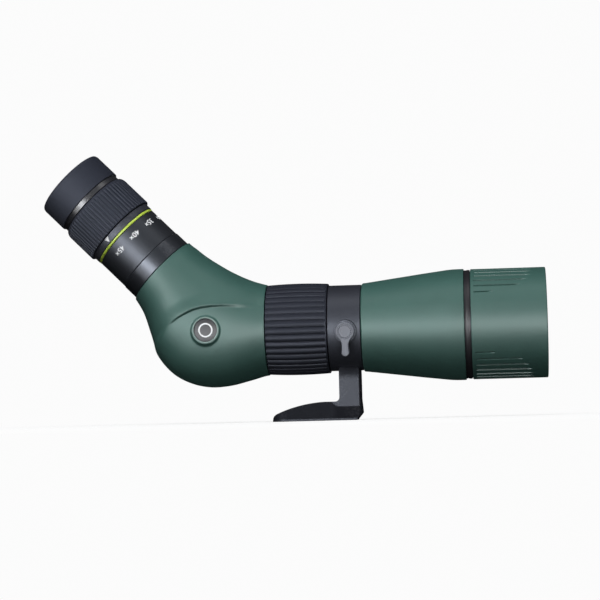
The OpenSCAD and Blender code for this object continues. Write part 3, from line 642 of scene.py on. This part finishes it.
def focus_depth(s, th, r):
    """Rounded ribs with a narrow valley between them; they run out just short of the collar."""
    pitch = 2 * math.pi / FOCUS_RIBS
    f = np.abs((th / pitch) % 1.0 - 0.5) * 2  # 0 on a rib, 1 in a valley
    valley = (1 - f) * pitch * FOCUS_R / 2
    wave = 0.29 * (1 - np.cos(math.pi * f)) + 0.5 * (1 - smoothstep(0.1, 0.62, valley))
    fade = 1 - smoothstep(3.5, 4.5, s)
    skin = smoothstep(FOCUS_R - 2.4, FOCUS_R - 1.6, r)
    return wave * fade * skin


def crown_r(s):
    """Radius over the ribs, crowned a little towards the middle."""
    t = (s - FOCUS_FROM - 0.6) / (FOCUS_TO - FOCUS_FROM - 0.9)
    return FOCUS_R - 0.7 * (1 - 2 * t) ** 2


stations = [FOCUS_FROM + 1.0, FOCUS_FROM + 2, *np.arange(-34.0, 1.0, 2.2), 1.6, 2.6, 3.5, 3.75, 4.0, 4.25]
grip_outline = [(29.42, FOCUS_FROM), (crown_r(FOCUS_FROM + 0.6) - 0.05, FOCUS_FROM, 0.9)]
grip_outline += [(crown_r(s), s) for s in stations]
grip_outline += [(crown_r(FOCUS_TO) - 0.1, FOCUS_TO, 0.9), (29.42, FOCUS_TO)]
focus_thetas = comb((0.0, 0.02, 0.045, 0.08, 0.12, 0.18, 0.27, 0.38, 0.5, 0.62, 0.73, 0.82, 0.88, 0.92,
                     0.955, 0.98), FOCUS_RIBS)
focus_grip = lathe("focus_grip_skin", TUBE, grip_outline, FOCUS_RUBBER, thetas=focus_thetas,
                   depth=focus_depth)
rides(focus_grip, "focus_ring", "grip_rubber", "focus_grip")

# ---------------------------------------------------------------- collar, lock and foot


def boolean(target, other, operation):
    """Joins, cuts or intersects one bare object with another, which is used up."""
    mod = target.modifiers.new("cut", "BOOLEAN")
    mod.operation = operation
    mod.solver = "EXACT"
    mod.object = other
    bpy.context.view_layer.objects.active = target
    bpy.context.view_layer.update()
    dg = bpy.context.evaluated_depsgraph_get()
    mesh = bpy.data.meshes.new_from_object(target.evaluated_get(dg))
    target.modifiers.remove(mod)
    target.data = mesh
    bpy.data.objects.remove(other)
    return target


def bare(name, verts, faces):
    """A closed body without a material, for cutting and joining."""
    mesh = mesh_of(name, verts, faces)
    weld(mesh)
    return linked(name, mesh)


def bare_lathe(name, axis, outline, sides):
    return bare(name, *turned(axis, outline, sides=sides))


def finish_mesh(obj, name, material, smooth_angle=35):
    """Turns a bare body into a finished piece."""
    mesh = obj.data
    bpy.data.objects.remove(obj)
    mesh.materials.clear()
    return wrap_mesh(name, mesh, material, smooth_angle)


collar = bare_lathe("collar", TUBE, [
    (25.66, 5.5, 0.2), (30.0, 5.5, 0.5), (30.0, 28.3, 0.5), (25.66, 28.3, 0.2)], sides=192)
boss = bare_lathe("boss", LOCK, [
    (0, 27), (7.8, 27), (7.8, 32.2, 0.35), (3.06, 32.2), (3.06, 31.5), (0, 31.5)], sides=96)
collar = finish_mesh(boolean(collar, boss, "UNION"), "collar_skin", COLLAR_BLACK)
rides(collar, "mount", "black_anodised", "collar_ring")


def lock_place(a, b, h):
    """A point of the lock: a towards +X, b up, h outward."""
    up = LOCK.d.cross(LOCK.u)
    return (LOCK.o + LOCK.u * a + up * b + LOCK.d * h) * MM


def recessed_plate(name, outline, levels, place, material, recess):
    """A plate from an outline, with a round recess in its top. levels is a list of (height, inset), place
    maps (a, b, height) to a point, and recess is (radius, floor height)."""
    pts = np.array(outline, float)
    n, m = len(pts), 72
    tangent = np.roll(pts, -1, 0) - np.roll(pts, 1, 0)
    outward = np.stack([tangent[:, 1], -tangent[:, 0]], 1)
    outward /= np.linalg.norm(outward, axis=1)[:, None]
    bm = bmesh.new()

    def wall(loops, count):
        for a, b in zip(loops, loops[1:]):
            for k in range(count):
                bm.faces.new((a[k], a[(k + 1) % count], b[(k + 1) % count], b[k]))

    def edges_of(loop):
        return [bm.edges.get((v, loop[(k + 1) % len(loop)])) for k, v in enumerate(loop)]

    rings = [[bm.verts.new(place(a, b, h)) for a, b in pts - outward * inset] for h, inset in levels]
    wall(rings, n)
    bm.faces.new(rings[0])
    top_h = levels[-1][0]
    r, floor = recess
    turns = [2 * math.pi * k / m for k in range(m)]
    hollow = [[bm.verts.new(place(q * math.cos(t), q * math.sin(t), h)) for t in turns]
              for q, h in ((r + 0.15, top_h), (r, top_h - 0.12), (r, floor))]
    wall(hollow, m)
    bm.faces.new(hollow[-1])
    bmesh.ops.triangle_fill(bm, use_beauty=True, use_dissolve=False,
                            edges=edges_of(rings[-1]) + edges_of(hollow[0]))
    mesh = bpy.data.meshes.new(name)
    bm.to_mesh(mesh)
    bm.free()
    return wrap_mesh(name, mesh, material)


def lever_outline():
    """A round hub with a waisted tail below it that ends in a round tip."""
    hub, tail, end_r, neck = 6.65, 17.3, 2.75, 2.4
    pts = []
    # round the hub from its lower right, over the top, to its lower left
    for k in range(49):
        a = math.radians(-50 + 280 * k / 48)
        pts.append((hub * math.cos(a), hub * math.sin(a)))
    left = [(-3.35, -6.4), (-2.85, -7.5), (-2.5, -8.8), (-neck, -10.2), (-2.45, -11.8), (-2.6, -13.2)]
    pts += left
    cy = -tail + end_r
    for k in range(17):
        a = math.radians(180 + 180 * k / 16)
        pts.append((end_r * math.cos(a), cy + end_r * math.sin(a)))
    pts += [(-x, y) for x, y in reversed(left)]
    return pts


lever = recessed_plate("lock_lever_plate", lever_outline(), [
    (32.6, 0.35), (32.75, 0.1), (33.0, 0.0), (34.7, 0.0), (35.05, 0.07), (35.35, 0.25), (35.52, 0.5),
    (35.6, 0.8)], lock_place, GREY, recess=(5.25, 35.0))
rides(lever, "lock_lever", "grey_lever", "lock_lever")


def dimpled_disc(name, axis, rows, dimple, material):
    """A turned cap with a ring of dimples in its face. rows are (r, s), and dimple is
    (count, r, size, depth)."""
    count, ring_r, size, deep = dimple
    per_dimple = 12
    sides = count * per_dimple
    top = rows[-1][1]
    verts = [tuple(axis.at(0, 0, top))]
    for r, s in rows[:-1]:
        for k in range(sides):
            part = (k % per_dimple - per_dimple / 2) / per_dimple * 2 * math.pi / count * ring_r
            hollow = deep * (1 - float(smoothstep(0.3 * size, size, math.hypot(part, r - ring_r))))
            on_face = s > top - 0.2
            verts.append(tuple(axis.at(r, 2 * math.pi * k / sides, s - hollow if on_face else s)))
    last = len(rows) - 2
    faces = [(0, 1 + last * sides + k, 1 + last * sides + (k + 1) % sides) for k in range(sides)]
    faces += [tuple(1 + v for v in f) for f in torus_faces(last + 1, sides, close_rows=False)]
    faces.append(tuple(1 + k for k in range(sides)))
    return wrap_mesh(name, mesh_of(name, verts, faces), material)


CAP_TOP, CAP_EDGE_R = 35.75, 5.08
cap = dimpled_disc("lock_cap_disc", LOCK, [
    (5.2, 35.02), (5.2, 35.5), (5.16, 35.66), (CAP_EDGE_R, 35.74)]
    + [(CAP_EDGE_R - 0.12 * k, CAP_TOP) for k in range(1, 15)] + [(2.0, CAP_TOP), (0, CAP_TOP)],
    (20, 4.35, 0.42, 0.45), GREY)
rides(cap, "lock_lever", "grey_lever", "lock_cap")

STEM_X0, STEM_X1 = 11.6, 25.8
TIP_X, NOSE_X, HEEL_X = -36.3, 26.8, 22.8
FOOT_H, FOOT_HALF = 13.1, 14.5
BEND_R = 3


def lift(x):
    """The drafted flank ends under the stem, and climbs to the plate's top edge left of it."""
    return 3.2 * (1 - smoothstep(STEM_X0 - 7, STEM_X0 - 1, x))


def foot_side():
    """The foot seen from the side: a low arc up to the stem, and a heel cut under it."""
    arc_r, crest = 94.5, 5.0
    side = [(TIP_X, 0.0), (TIP_X + 0.05, 1.2), (TIP_X + 0.4, 2.4), (TIP_X + 1.3, 3.9)]
    side += [(x, min(FOOT_H, FOOT_H + 0.1 - arc_r + math.sqrt(arc_r ** 2 - (x - crest) ** 2)))
             for x in np.linspace(TIP_X + 2.9, 0.9, 26)]
    side += [(STEM_X0 - BEND_R, FOOT_H)]
    side += [(STEM_X0 - BEND_R + BEND_R * math.sin(a), FOOT_H + BEND_R - BEND_R * math.cos(a))
             for a in np.linspace(0.2, math.pi / 2, 7)]
    return side + [(STEM_X0, 45), (STEM_X1, 45), (STEM_X1, FOOT_H + 1.2), (NOSE_X, 5.0), (HEEL_X, 0.0)]


def foot_plan():
    """The foot seen from above: round at the tip, nearly square at the nose."""
    plan = []
    for cx, cy, r, first, steps in (
            (TIP_X + 12, FOOT_HALF - 12, 12, 90, 12), (TIP_X + 12, 12 - FOOT_HALF, 12, 180, 12),
            (NOSE_X - 2, 2 - FOOT_HALF, 2, 270, 6), (NOSE_X - 2, FOOT_HALF - 2, 2, 0, 6)):
        for k in range(steps + 1):
            a = math.radians(first + 90 * k / steps)
            plan.append((cx + r * math.cos(a), cy + r * math.sin(a)))
        if cx < 0 > cy:
            plan += [(STEM_X0 - k, -FOOT_HALF) for k in (7, 5.5, 4, 2.5, 1)]
    return plan + [(STEM_X0 - k, FOOT_HALF) for k in (1, 2.5, 4, 5.5, 7)]


def build_foot():
    """The foot as one casting: a drafted plate with a lip round its base, and the stem up to the collar."""
    side = foot_side()
    n = len(side)
    verts = [(x, y, z) for y in (-20, 20) for x, z in side]
    faces = [tuple(range(n)), tuple(range(2 * n - 1, n - 1, -1))]
    faces += [(k, n + k, n + (k + 1) % n, (k + 1) % n) for k in range(n)]
    body = bare("foot_body", verts, faces)
    plan = foot_plan()
    m = len(plan)
    base = [(-1, 3.3), (0.0, 3.3), (0.3, 3.1), (1.35, 3.1), (1.6, 3.2)]
    crease = [(9.3, 0.15), (9.9, 0.0)]
    stem = [(28.0, 0.0), (31.0, 0.15), (33.5, 0.6), (36.0, 1.6), (46, 8.0)]
    verts = [(x, y * (1 - inset / FOOT_HALF), z + (lift(x) if (z, inset) in crease else 0))
             for z, inset in base + crease + stem for x, y in plan]
    rows = len(base + crease + stem)
    faces = [tuple(range(m)), tuple(range(rows * m - 1, (rows - 1) * m - 1, -1))]
    faces += torus_faces(rows, m, close_rows=False)
    body = boolean(body, bare("foot_mask", verts, faces), "INTERSECT")
    saddle = bare_lathe("saddle", TUBE, [(0, -60), (30.02, -60), (30.02, 80), (0, 80)], sides=256)
    body = boolean(body, saddle, "DIFFERENCE")
    up = Axis((0, 0, 0), (0, 0, 1), (1, 0, 0))
    well = bare_lathe("well", up, [(0, -2), (5.02, -2), (5.02, 10), (0, 10)], sides=96)
    return boolean(body, well, "DIFFERENCE")


# the foot takes the darker, duller black: painted shade
foot = finish_mesh(build_foot(), "foot_casting", FOOT_SHADED_BLACK, smooth_angle=32)
bevel = foot.modifiers.new("soft_edges", "BEVEL")
bevel.width = 0.8 * MM
bevel.segments = 3
bevel.limit_method = "ANGLE"
bevel.angle_limit = math.radians(38)
bevel.use_clamp_overlap = True
bevel.harden_normals = False
foot.modifiers.move(1, 0)
rides(foot, "mount", "black_anodised", "foot")

# ---------------------------------------------------------------- eyepiece

DIAL_R, BAND_R = 25.9, 26.3

base_ring = lathe("eyepiece_mount_skin", EYE, [
    (21.02, 54.9), (22.9, 54.9, 0.2), (22.9, 62.0), (26.0, 62.0, 0.3), (26.3, 62.6, 0.2), (26.3, 73.1, 0.3),
    (25.9, 73.5, 0.1), (21.02, 73.5)], BLACK_SATIN)
rides(base_ring, "scope", "black_anodised", "eyepiece_mount")
dial = lathe("dial_barrel_skin", EYE, [
    (21.02, 73.52), (DIAL_R, 73.52, 0.45), (DIAL_R, 96.9, 0.3), (21.02, 96.9)], BLACK)
rides(dial, "scope", "black_anodised", "dial_barrel")
accent = lathe("accent_ring_skin", EYE, [
    (24.32, 97.2), (25.8, 97.2, 0.3), (26.1, 98.05, 0.6), (25.8, 98.9, 0.3), (24.32, 98.9)], LIME)
rides(accent, "zoom_ring", "lime_ring", "accent_ring")
band = lathe("zoom_band_skin", EYE, [
    (21.06, 97.2), (24.3, 97.2), (24.3, 98.93), (26.2, 98.93, 0.3), (BAND_R, 99.6, 0.2), (BAND_R, 103.6, 0.3),
    (25.9, 104.0, 0.1), (24.0, 104.0), (24.0, 129.6), (21.06, 129.6)], COLLAR_BLACK)
rides(band, "zoom_ring", "black_anodised", "zoom_sleeve")

INDEX_ANGLE = math.radians(-20)
POWERS = range(45, 10, -5)
POWER_STEP = math.radians(34)


def wrap_flat(name, bm, radius, angle, station, body):
    """Wraps flat marks, drawn in mm in the XY plane, round the eyepiece: up is towards the objective."""
    thick, sunk = 0.05, 0.1
    for axis in (0, 1):
        for k in range(-12, 13):
            cut = [0.0, 0.0, 0.0]
            cut[axis] = k * 0.45
            normal = [0.0, 0.0, 0.0]
            normal[axis] = 1.0
            geom = bm.verts[:] + bm.edges[:] + bm.faces[:]
            bmesh.ops.bisect_plane(bm, geom=geom, plane_co=cut, plane_no=normal, dist=1e-4)
    bmesh.ops.remove_doubles(bm, verts=bm.verts, dist=1e-4)
    raised = bmesh.ops.extrude_face_region(bm, geom=bm.faces[:])["geom"]
    top = {v for v in raised if isinstance(v, bmesh.types.BMVert)}
    for v in bm.verts:
        r = radius + (thick if v in top else -sunk)
        v.co = EYE.at(r, angle - v.co.x / radius, station - v.co.y) * MM
    bmesh.ops.recalc_face_normals(bm, faces=bm.faces)
    mesh = bpy.data.meshes.new(name)
    bm.to_mesh(mesh)
    bm.free()
    mark = wrap_mesh(name, mesh, DIAL_WHITE, smooth_angle=30, weighted=False)
    return rides(mark, body, "dial_paint")


def number_mesh(text, height):
    """The flat outline of a number as a bmesh, centred on the origin, in mm."""
    curve = bpy.data.curves.new("number", "FONT")
    curve.body = text
    curve.size = height
    curve.align_x = "CENTER"
    curve.align_y = "CENTER"
    curve.resolution_u = 4
    curve.offset = 0.07
    obj = bpy.data.objects.new("number", curve)
    bpy.context.scene.collection.objects.link(obj)
    bpy.context.view_layer.update()
    mesh = bpy.data.meshes.new_from_object(obj.evaluated_get(bpy.context.evaluated_depsgraph_get()))
    bm = bmesh.new()
    bm.from_mesh(mesh)
    bpy.data.objects.remove(obj)
    bpy.data.meshes.remove(mesh)
    return bm


for i, power in enumerate(POWERS):
    wrap_flat("dial_number_%d" % power, number_mesh("%d\u00d7" % power, 5.3), DIAL_R,
              INDEX_ANGLE + i * POWER_STEP, 90.5, "scope")

arrow = bmesh.new()
arrow.faces.new([arrow.verts.new(p) for p in ((-2.0, -1.7, 0), (2.0, -1.7, 0), (0, 1.7, 0))])
wrap_flat("zoom_index", arrow, BAND_R, INDEX_ANGLE, 101.55, "zoom_ring")

ZOOM_RIBS = 60
ZOOM_R = 27.95


def zoom_depth(s, th, r):
    """Fine ribs that run out before the eyecup's end."""
    pitch = 2 * math.pi / ZOOM_RIBS
    f = np.abs(((th / pitch) % 1.0 - 0.5) * pitch * ZOOM_R)
    edge = pitch * ZOOM_R / 2 - f
    groove = 0.56 * (1 - smoothstep(0.25, 0.85, edge))
    crown = 0.10 * (f / (pitch * ZOOM_R / 2)) ** 2.5
    fade = 1 - smoothstep(127.0, 129.2, s)
    skin = smoothstep(25.0, 26.0, r)
    return (groove + crown) * fade * skin


zoom_outline = [(24.02, 104.2), (ZOOM_R, 104.2, 0.75)]
zoom_outline += [(ZOOM_R, s) for s in (105.4, 107, 110, 113, 116, 119, 122, 124.5)]
zoom_outline += [(27.93, 126.0), (27.85, 127.0), (27.6, 128.0), (27.2, 128.9), (26.75, 129.6),
                 (26.2, 130.0, 0.3), (24.02, 130.0)]
zoom_thetas = comb((0.0, 0.06, 0.12, 0.18, 0.25, 0.38, 0.5, 0.62, 0.75, 0.82, 0.88, 0.94), ZOOM_RIBS)
zoom_grip = lathe("zoom_grip_skin", EYE, zoom_outline, RUBBER, thetas=zoom_thetas, depth=zoom_depth)
rides(zoom_grip, "zoom_ring", "grip_rubber", "zoom_grip")

cup_sleeve = lathe("eyecup_sleeve_skin", EYE, [
    (23.76, 130.4), (25.3, 130.4, 0.2), (25.6, 130.8, 0.2), (25.6, 134.28), (25.4, 134.28), (25.4, 149.4),
    (23.76, 149.4)], CUP_METAL)
rides(cup_sleeve, "eyecup", "cup_metal", "eyecup_sleeve")
cup = lathe("eyecup_rubber_skin", EYE, [
    (25.42, 134.3), (26.7, 134.3, 0.5), (26.7, 151.6), (26.62, 152.6), (26.4, 153.5), (25.95, 154.15),
    (25.2, 154.5, 0.4), (24.3, 154.45), (23.6, 154.0), (23.2, 153.3), (22.4, 152.2), (21.2, 151.3),
    (20.4, 150.7, 0.4), (20.4, 149.6, 0.2), (25.42, 149.6)], RUBBER, sides=192, steps=5)
rides(cup, "eyecup", "grip_rubber", "eyecup_rubber")

# ---------------------------------------------------------------- carried-over CAD nodes

LOOKS = {
    "foot_screws": STEEL, "tripod_bush": STEEL, "lock_screw": STEEL, "brake_shoe": ACETAL,
    "main_tube": BLACK, "tube_seals": RUBBER_SMOOTH, "light_baffle": BLACK_MATT, "objective_cell": BLACK,
    "hood_felt": FELT, "flint_lens": LENS, "lens_spacer": BLACK, "crown_lens": LENS, "lens_ring": BLACK,
    "roof_prism": LENS, "prism_bracket": BLACK, "prism_clip": STEEL, "bracket_screws": STEEL,
    "eyepiece_seal": RUBBER_SMOOTH, "eyepiece_tube": BLACK, "field_stop": BLACK_MATT,
    "field_lens": EYE_GLASS,
    "eyepiece_head": BLACK, "inner_eye_lens": EYE_GLASS, "eye_lens": EYE_GLASS, "eye_lens_ring": BLACK,
    "focus_sleeve": BLACK, "focus_cell": BLACK_MATT, "focus_lens": LENS, "focus_pin": STEEL,
    "variator_cell": BLACK_MATT, "variator_lens": EYE_GLASS, "variator_pin": STEEL,
    "compensator_cell": BLACK_MATT, "compensator_lens": EYE_GLASS, "compensator_pin": STEEL,
    "eyecup_key_ring": BLACK, "eyecup_pins": STEEL,
}
for name, look in LOOKS.items():
    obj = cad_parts[name]
    for slot_ in obj.material_slots:
        slot_.material = look

# ---------------------------------------------------------------- stage, lights, camera

BACKDROP = (0.97, 0.97, 0.97, 1)


def camera_only(tree, seen, unseen):
    """Mixes two shaders: the first for what the camera sees directly, the second for all other light."""
    path = node(tree, "ShaderNodeLightPath")
    mix = node(tree, "ShaderNodeMixShader")
    tree.links.new(path.outputs["Is Camera Ray"], mix.inputs["Fac"])
    tree.links.new(unseen, mix.inputs[1])
    tree.links.new(seen, mix.inputs[2])
    return mix.outputs["Shader"]


def build_stage():
    """A pale floor that melts into the backdrop away from the foot. Only the camera sees it as pale."""
    n, radius, level = 64, 9000.0, -0.02
    turns = [2 * math.pi * k / n for k in range(n)]
    verts = [(0, 0, level)] + [(radius * math.cos(a), radius * math.sin(a), level) for a in turns]
    faces = [(0, k + 1, (k + 1) % n + 1) for k in range(n)]
    m, t, bsdf = new_material("studio_floor")
    link = t.links.new
    bsdf.inputs["Base Color"].default_value = (0.30, 0.30, 0.30, 1)
    bsdf.inputs["Roughness"].default_value = 0.9
    bsdf.inputs["Specular IOR Level"].default_value = 0.0
    far = node(t, "ShaderNodeEmission")
    far.inputs["Color"].default_value = BACKDROP
    length = node(t, "ShaderNodeVectorMath", operation="LENGTH")
    link(node(t, "ShaderNodeTexCoord").outputs["Object"], length.inputs[0])
    fade = node(t, "ShaderNodeMapRange", interpolation_type="SMOOTHSTEP", in_From_Min=0.02,
                in_From_Max=0.55)
    link(length.outputs["Value"], fade.inputs["Value"])
    glow = node(t, "ShaderNodeEmission", in_Strength=0.74)
    glow.inputs["Color"].default_value = BACKDROP
    lit = node(t, "ShaderNodeAddShader")
    link(bsdf.outputs["BSDF"], lit.inputs[0])
    link(glow.outputs["Emission"], lit.inputs[1])
    near = node(t, "ShaderNodeMixShader")
    link(fade.outputs["Result"], near.inputs["Fac"])
    link(lit.outputs["Shader"], near.inputs[1])
    link(far.outputs["Emission"], near.inputs[2])
    dim = node(t, "ShaderNodeBsdfDiffuse", in_Color=(0.10, 0.10, 0.10, 1))
    link(camera_only(t, near.outputs["Shader"], dim.outputs["BSDF"]),
         t.nodes["Material Output"].inputs["Surface"])
    floor = wrap_mesh("studio_floor", mesh_of("studio_floor", verts, faces), m, weighted=False)
    floor.visible_glossy = floor.visible_diffuse = floor.visible_shadow = False


def build_world():
    """A soft tent: bright above and in front, dimmer behind and dark below."""
    w = bpy.data.worlds.new("studio")
    bpy.context.scene.world = w
    w.use_nodes = True
    t = w.node_tree
    link = t.links.new
    tent = t.nodes["Background"]
    sep = node(t, "ShaderNodeSeparateXYZ")
    link(node(t, "ShaderNodeTexCoord").outputs["Generated"], sep.inputs[0])
    height = node(t, "ShaderNodeMapRange", interpolation_type="SMOOTHSTEP", in_From_Min=-0.12,
                  in_From_Max=0.35, in_To_Min=0.05, in_To_Max=1.0)
    link(sep.outputs["Z"], height.inputs["Value"])
    behind = node(t, "ShaderNodeMapRange", interpolation_type="SMOOTHSTEP", in_From_Min=-0.25,
                  in_From_Max=0.6, in_To_Min=1.0, in_To_Max=0.14)
    link(sep.outputs["Y"], behind.inputs["Value"])
    product = node(t, "ShaderNodeMath", operation="MULTIPLY")
    link(height.outputs["Result"], product.inputs[0])
    link(behind.outputs["Result"], product.inputs[1])
    link(product.outputs[0], tent.inputs["Strength"])
    tent.inputs["Color"].default_value = (0.26, 0.27, 0.28, 1)
    pale = node(t, "ShaderNodeBackground", in_Color=BACKDROP)
    link(camera_only(t, pale.outputs["Background"], tent.outputs["Background"]),
         t.nodes["World Output"].inputs["Surface"])


def softbox(name, azimuth, elevation, width, height, radiance, color=(1, 1, 1), sheen=True, fill=True):
    """An area light that faces the scope, all angles in degrees. sheen and fill say whether it is seen in
    reflections and whether it adds soft light, like a flagged studio strip."""
    az, el, away = math.radians(azimuth), math.radians(elevation), 1.6
    toward = Vector((math.sin(az) * math.cos(el), -math.cos(az) * math.cos(el), math.sin(el)))
    data = bpy.data.lights.new(name, "AREA")
    data.shape = "RECTANGLE"
    data.size = away * math.radians(width)
    data.size_y = away * math.radians(height)
    data.energy = radiance * math.pi * data.size * data.size_y
    data.color = color
    obj = linked(name, data)
    obj.location = Vector((-0.02, 0, 0.064)) + toward * away
    obj.rotation_mode = "QUATERNION"
    obj.rotation_quaternion = (-toward).to_track_quat("-Z", "Y")
    obj.visible_glossy = sheen
    obj.visible_diffuse = fill
    obj.visible_camera = False


build_stage()
build_world()
softbox("strip", -16, -2, 72, 14, 12.2, (0.94, 0.965, 1.0), fill=False)
softbox("strip_right", 15, -3, 20, 14, 11, (1.0, 0.99, 0.96), fill=False)
softbox("strip_left", -40, 12, 22, 15, 9, fill=False)
softbox("strip_low", -34, -17, 44, 14, 2.6, fill=False)
softbox("canopy", 0, 72, 60, 26, 1.8, fill=False)
softbox("front_fill", -5, 42, 40, 25, 9.0, (0.98, 0.99, 1.0), sheen=False)
softbox("low_fill", 0, -37, 50, 25, 1.5, sheen=False)
softbox("back_fill", 172, 6, 60, 30, 6.5, sheen=False)


def build_camera():
    """A long lens from a little right of square on and a little below, with a slight roll."""
    az, el, roll = math.radians(5.3), math.radians(-3.0), math.radians(1.5)
    distance, thread_right, thread_down = 1477.0, 17.5, 84.42
    back = Vector((math.sin(az) * math.cos(el), -math.cos(az) * math.cos(el), math.sin(el)))
    level = Vector((0, 0, 1)).cross(back).normalized()
    upright = back.cross(level)
    right = level * math.cos(roll) - upright * math.sin(roll)
    up = level * math.sin(roll) + upright * math.cos(roll)
    data = bpy.data.cameras.new("camera")
    data.sensor_width = 36.0
    data.lens = 126.6
    data.clip_start, data.clip_end = 0.01, 50
    cam = linked("camera", data)
    cam.matrix_world = Matrix(((right.x, up.x, back.x, 0), (right.y, up.y, back.y, 0),
                               (right.z, up.z, back.z, 0), (0, 0, 0, 1)))
    # the tripod thread sits a little right of and below the middle of the view
    cam.location = (back * distance - right * thread_right + up * thread_down) * MM
    bpy.context.scene.camera = cam


build_camera()
scene = bpy.context.scene
scene.view_settings.view_transform = "Standard"
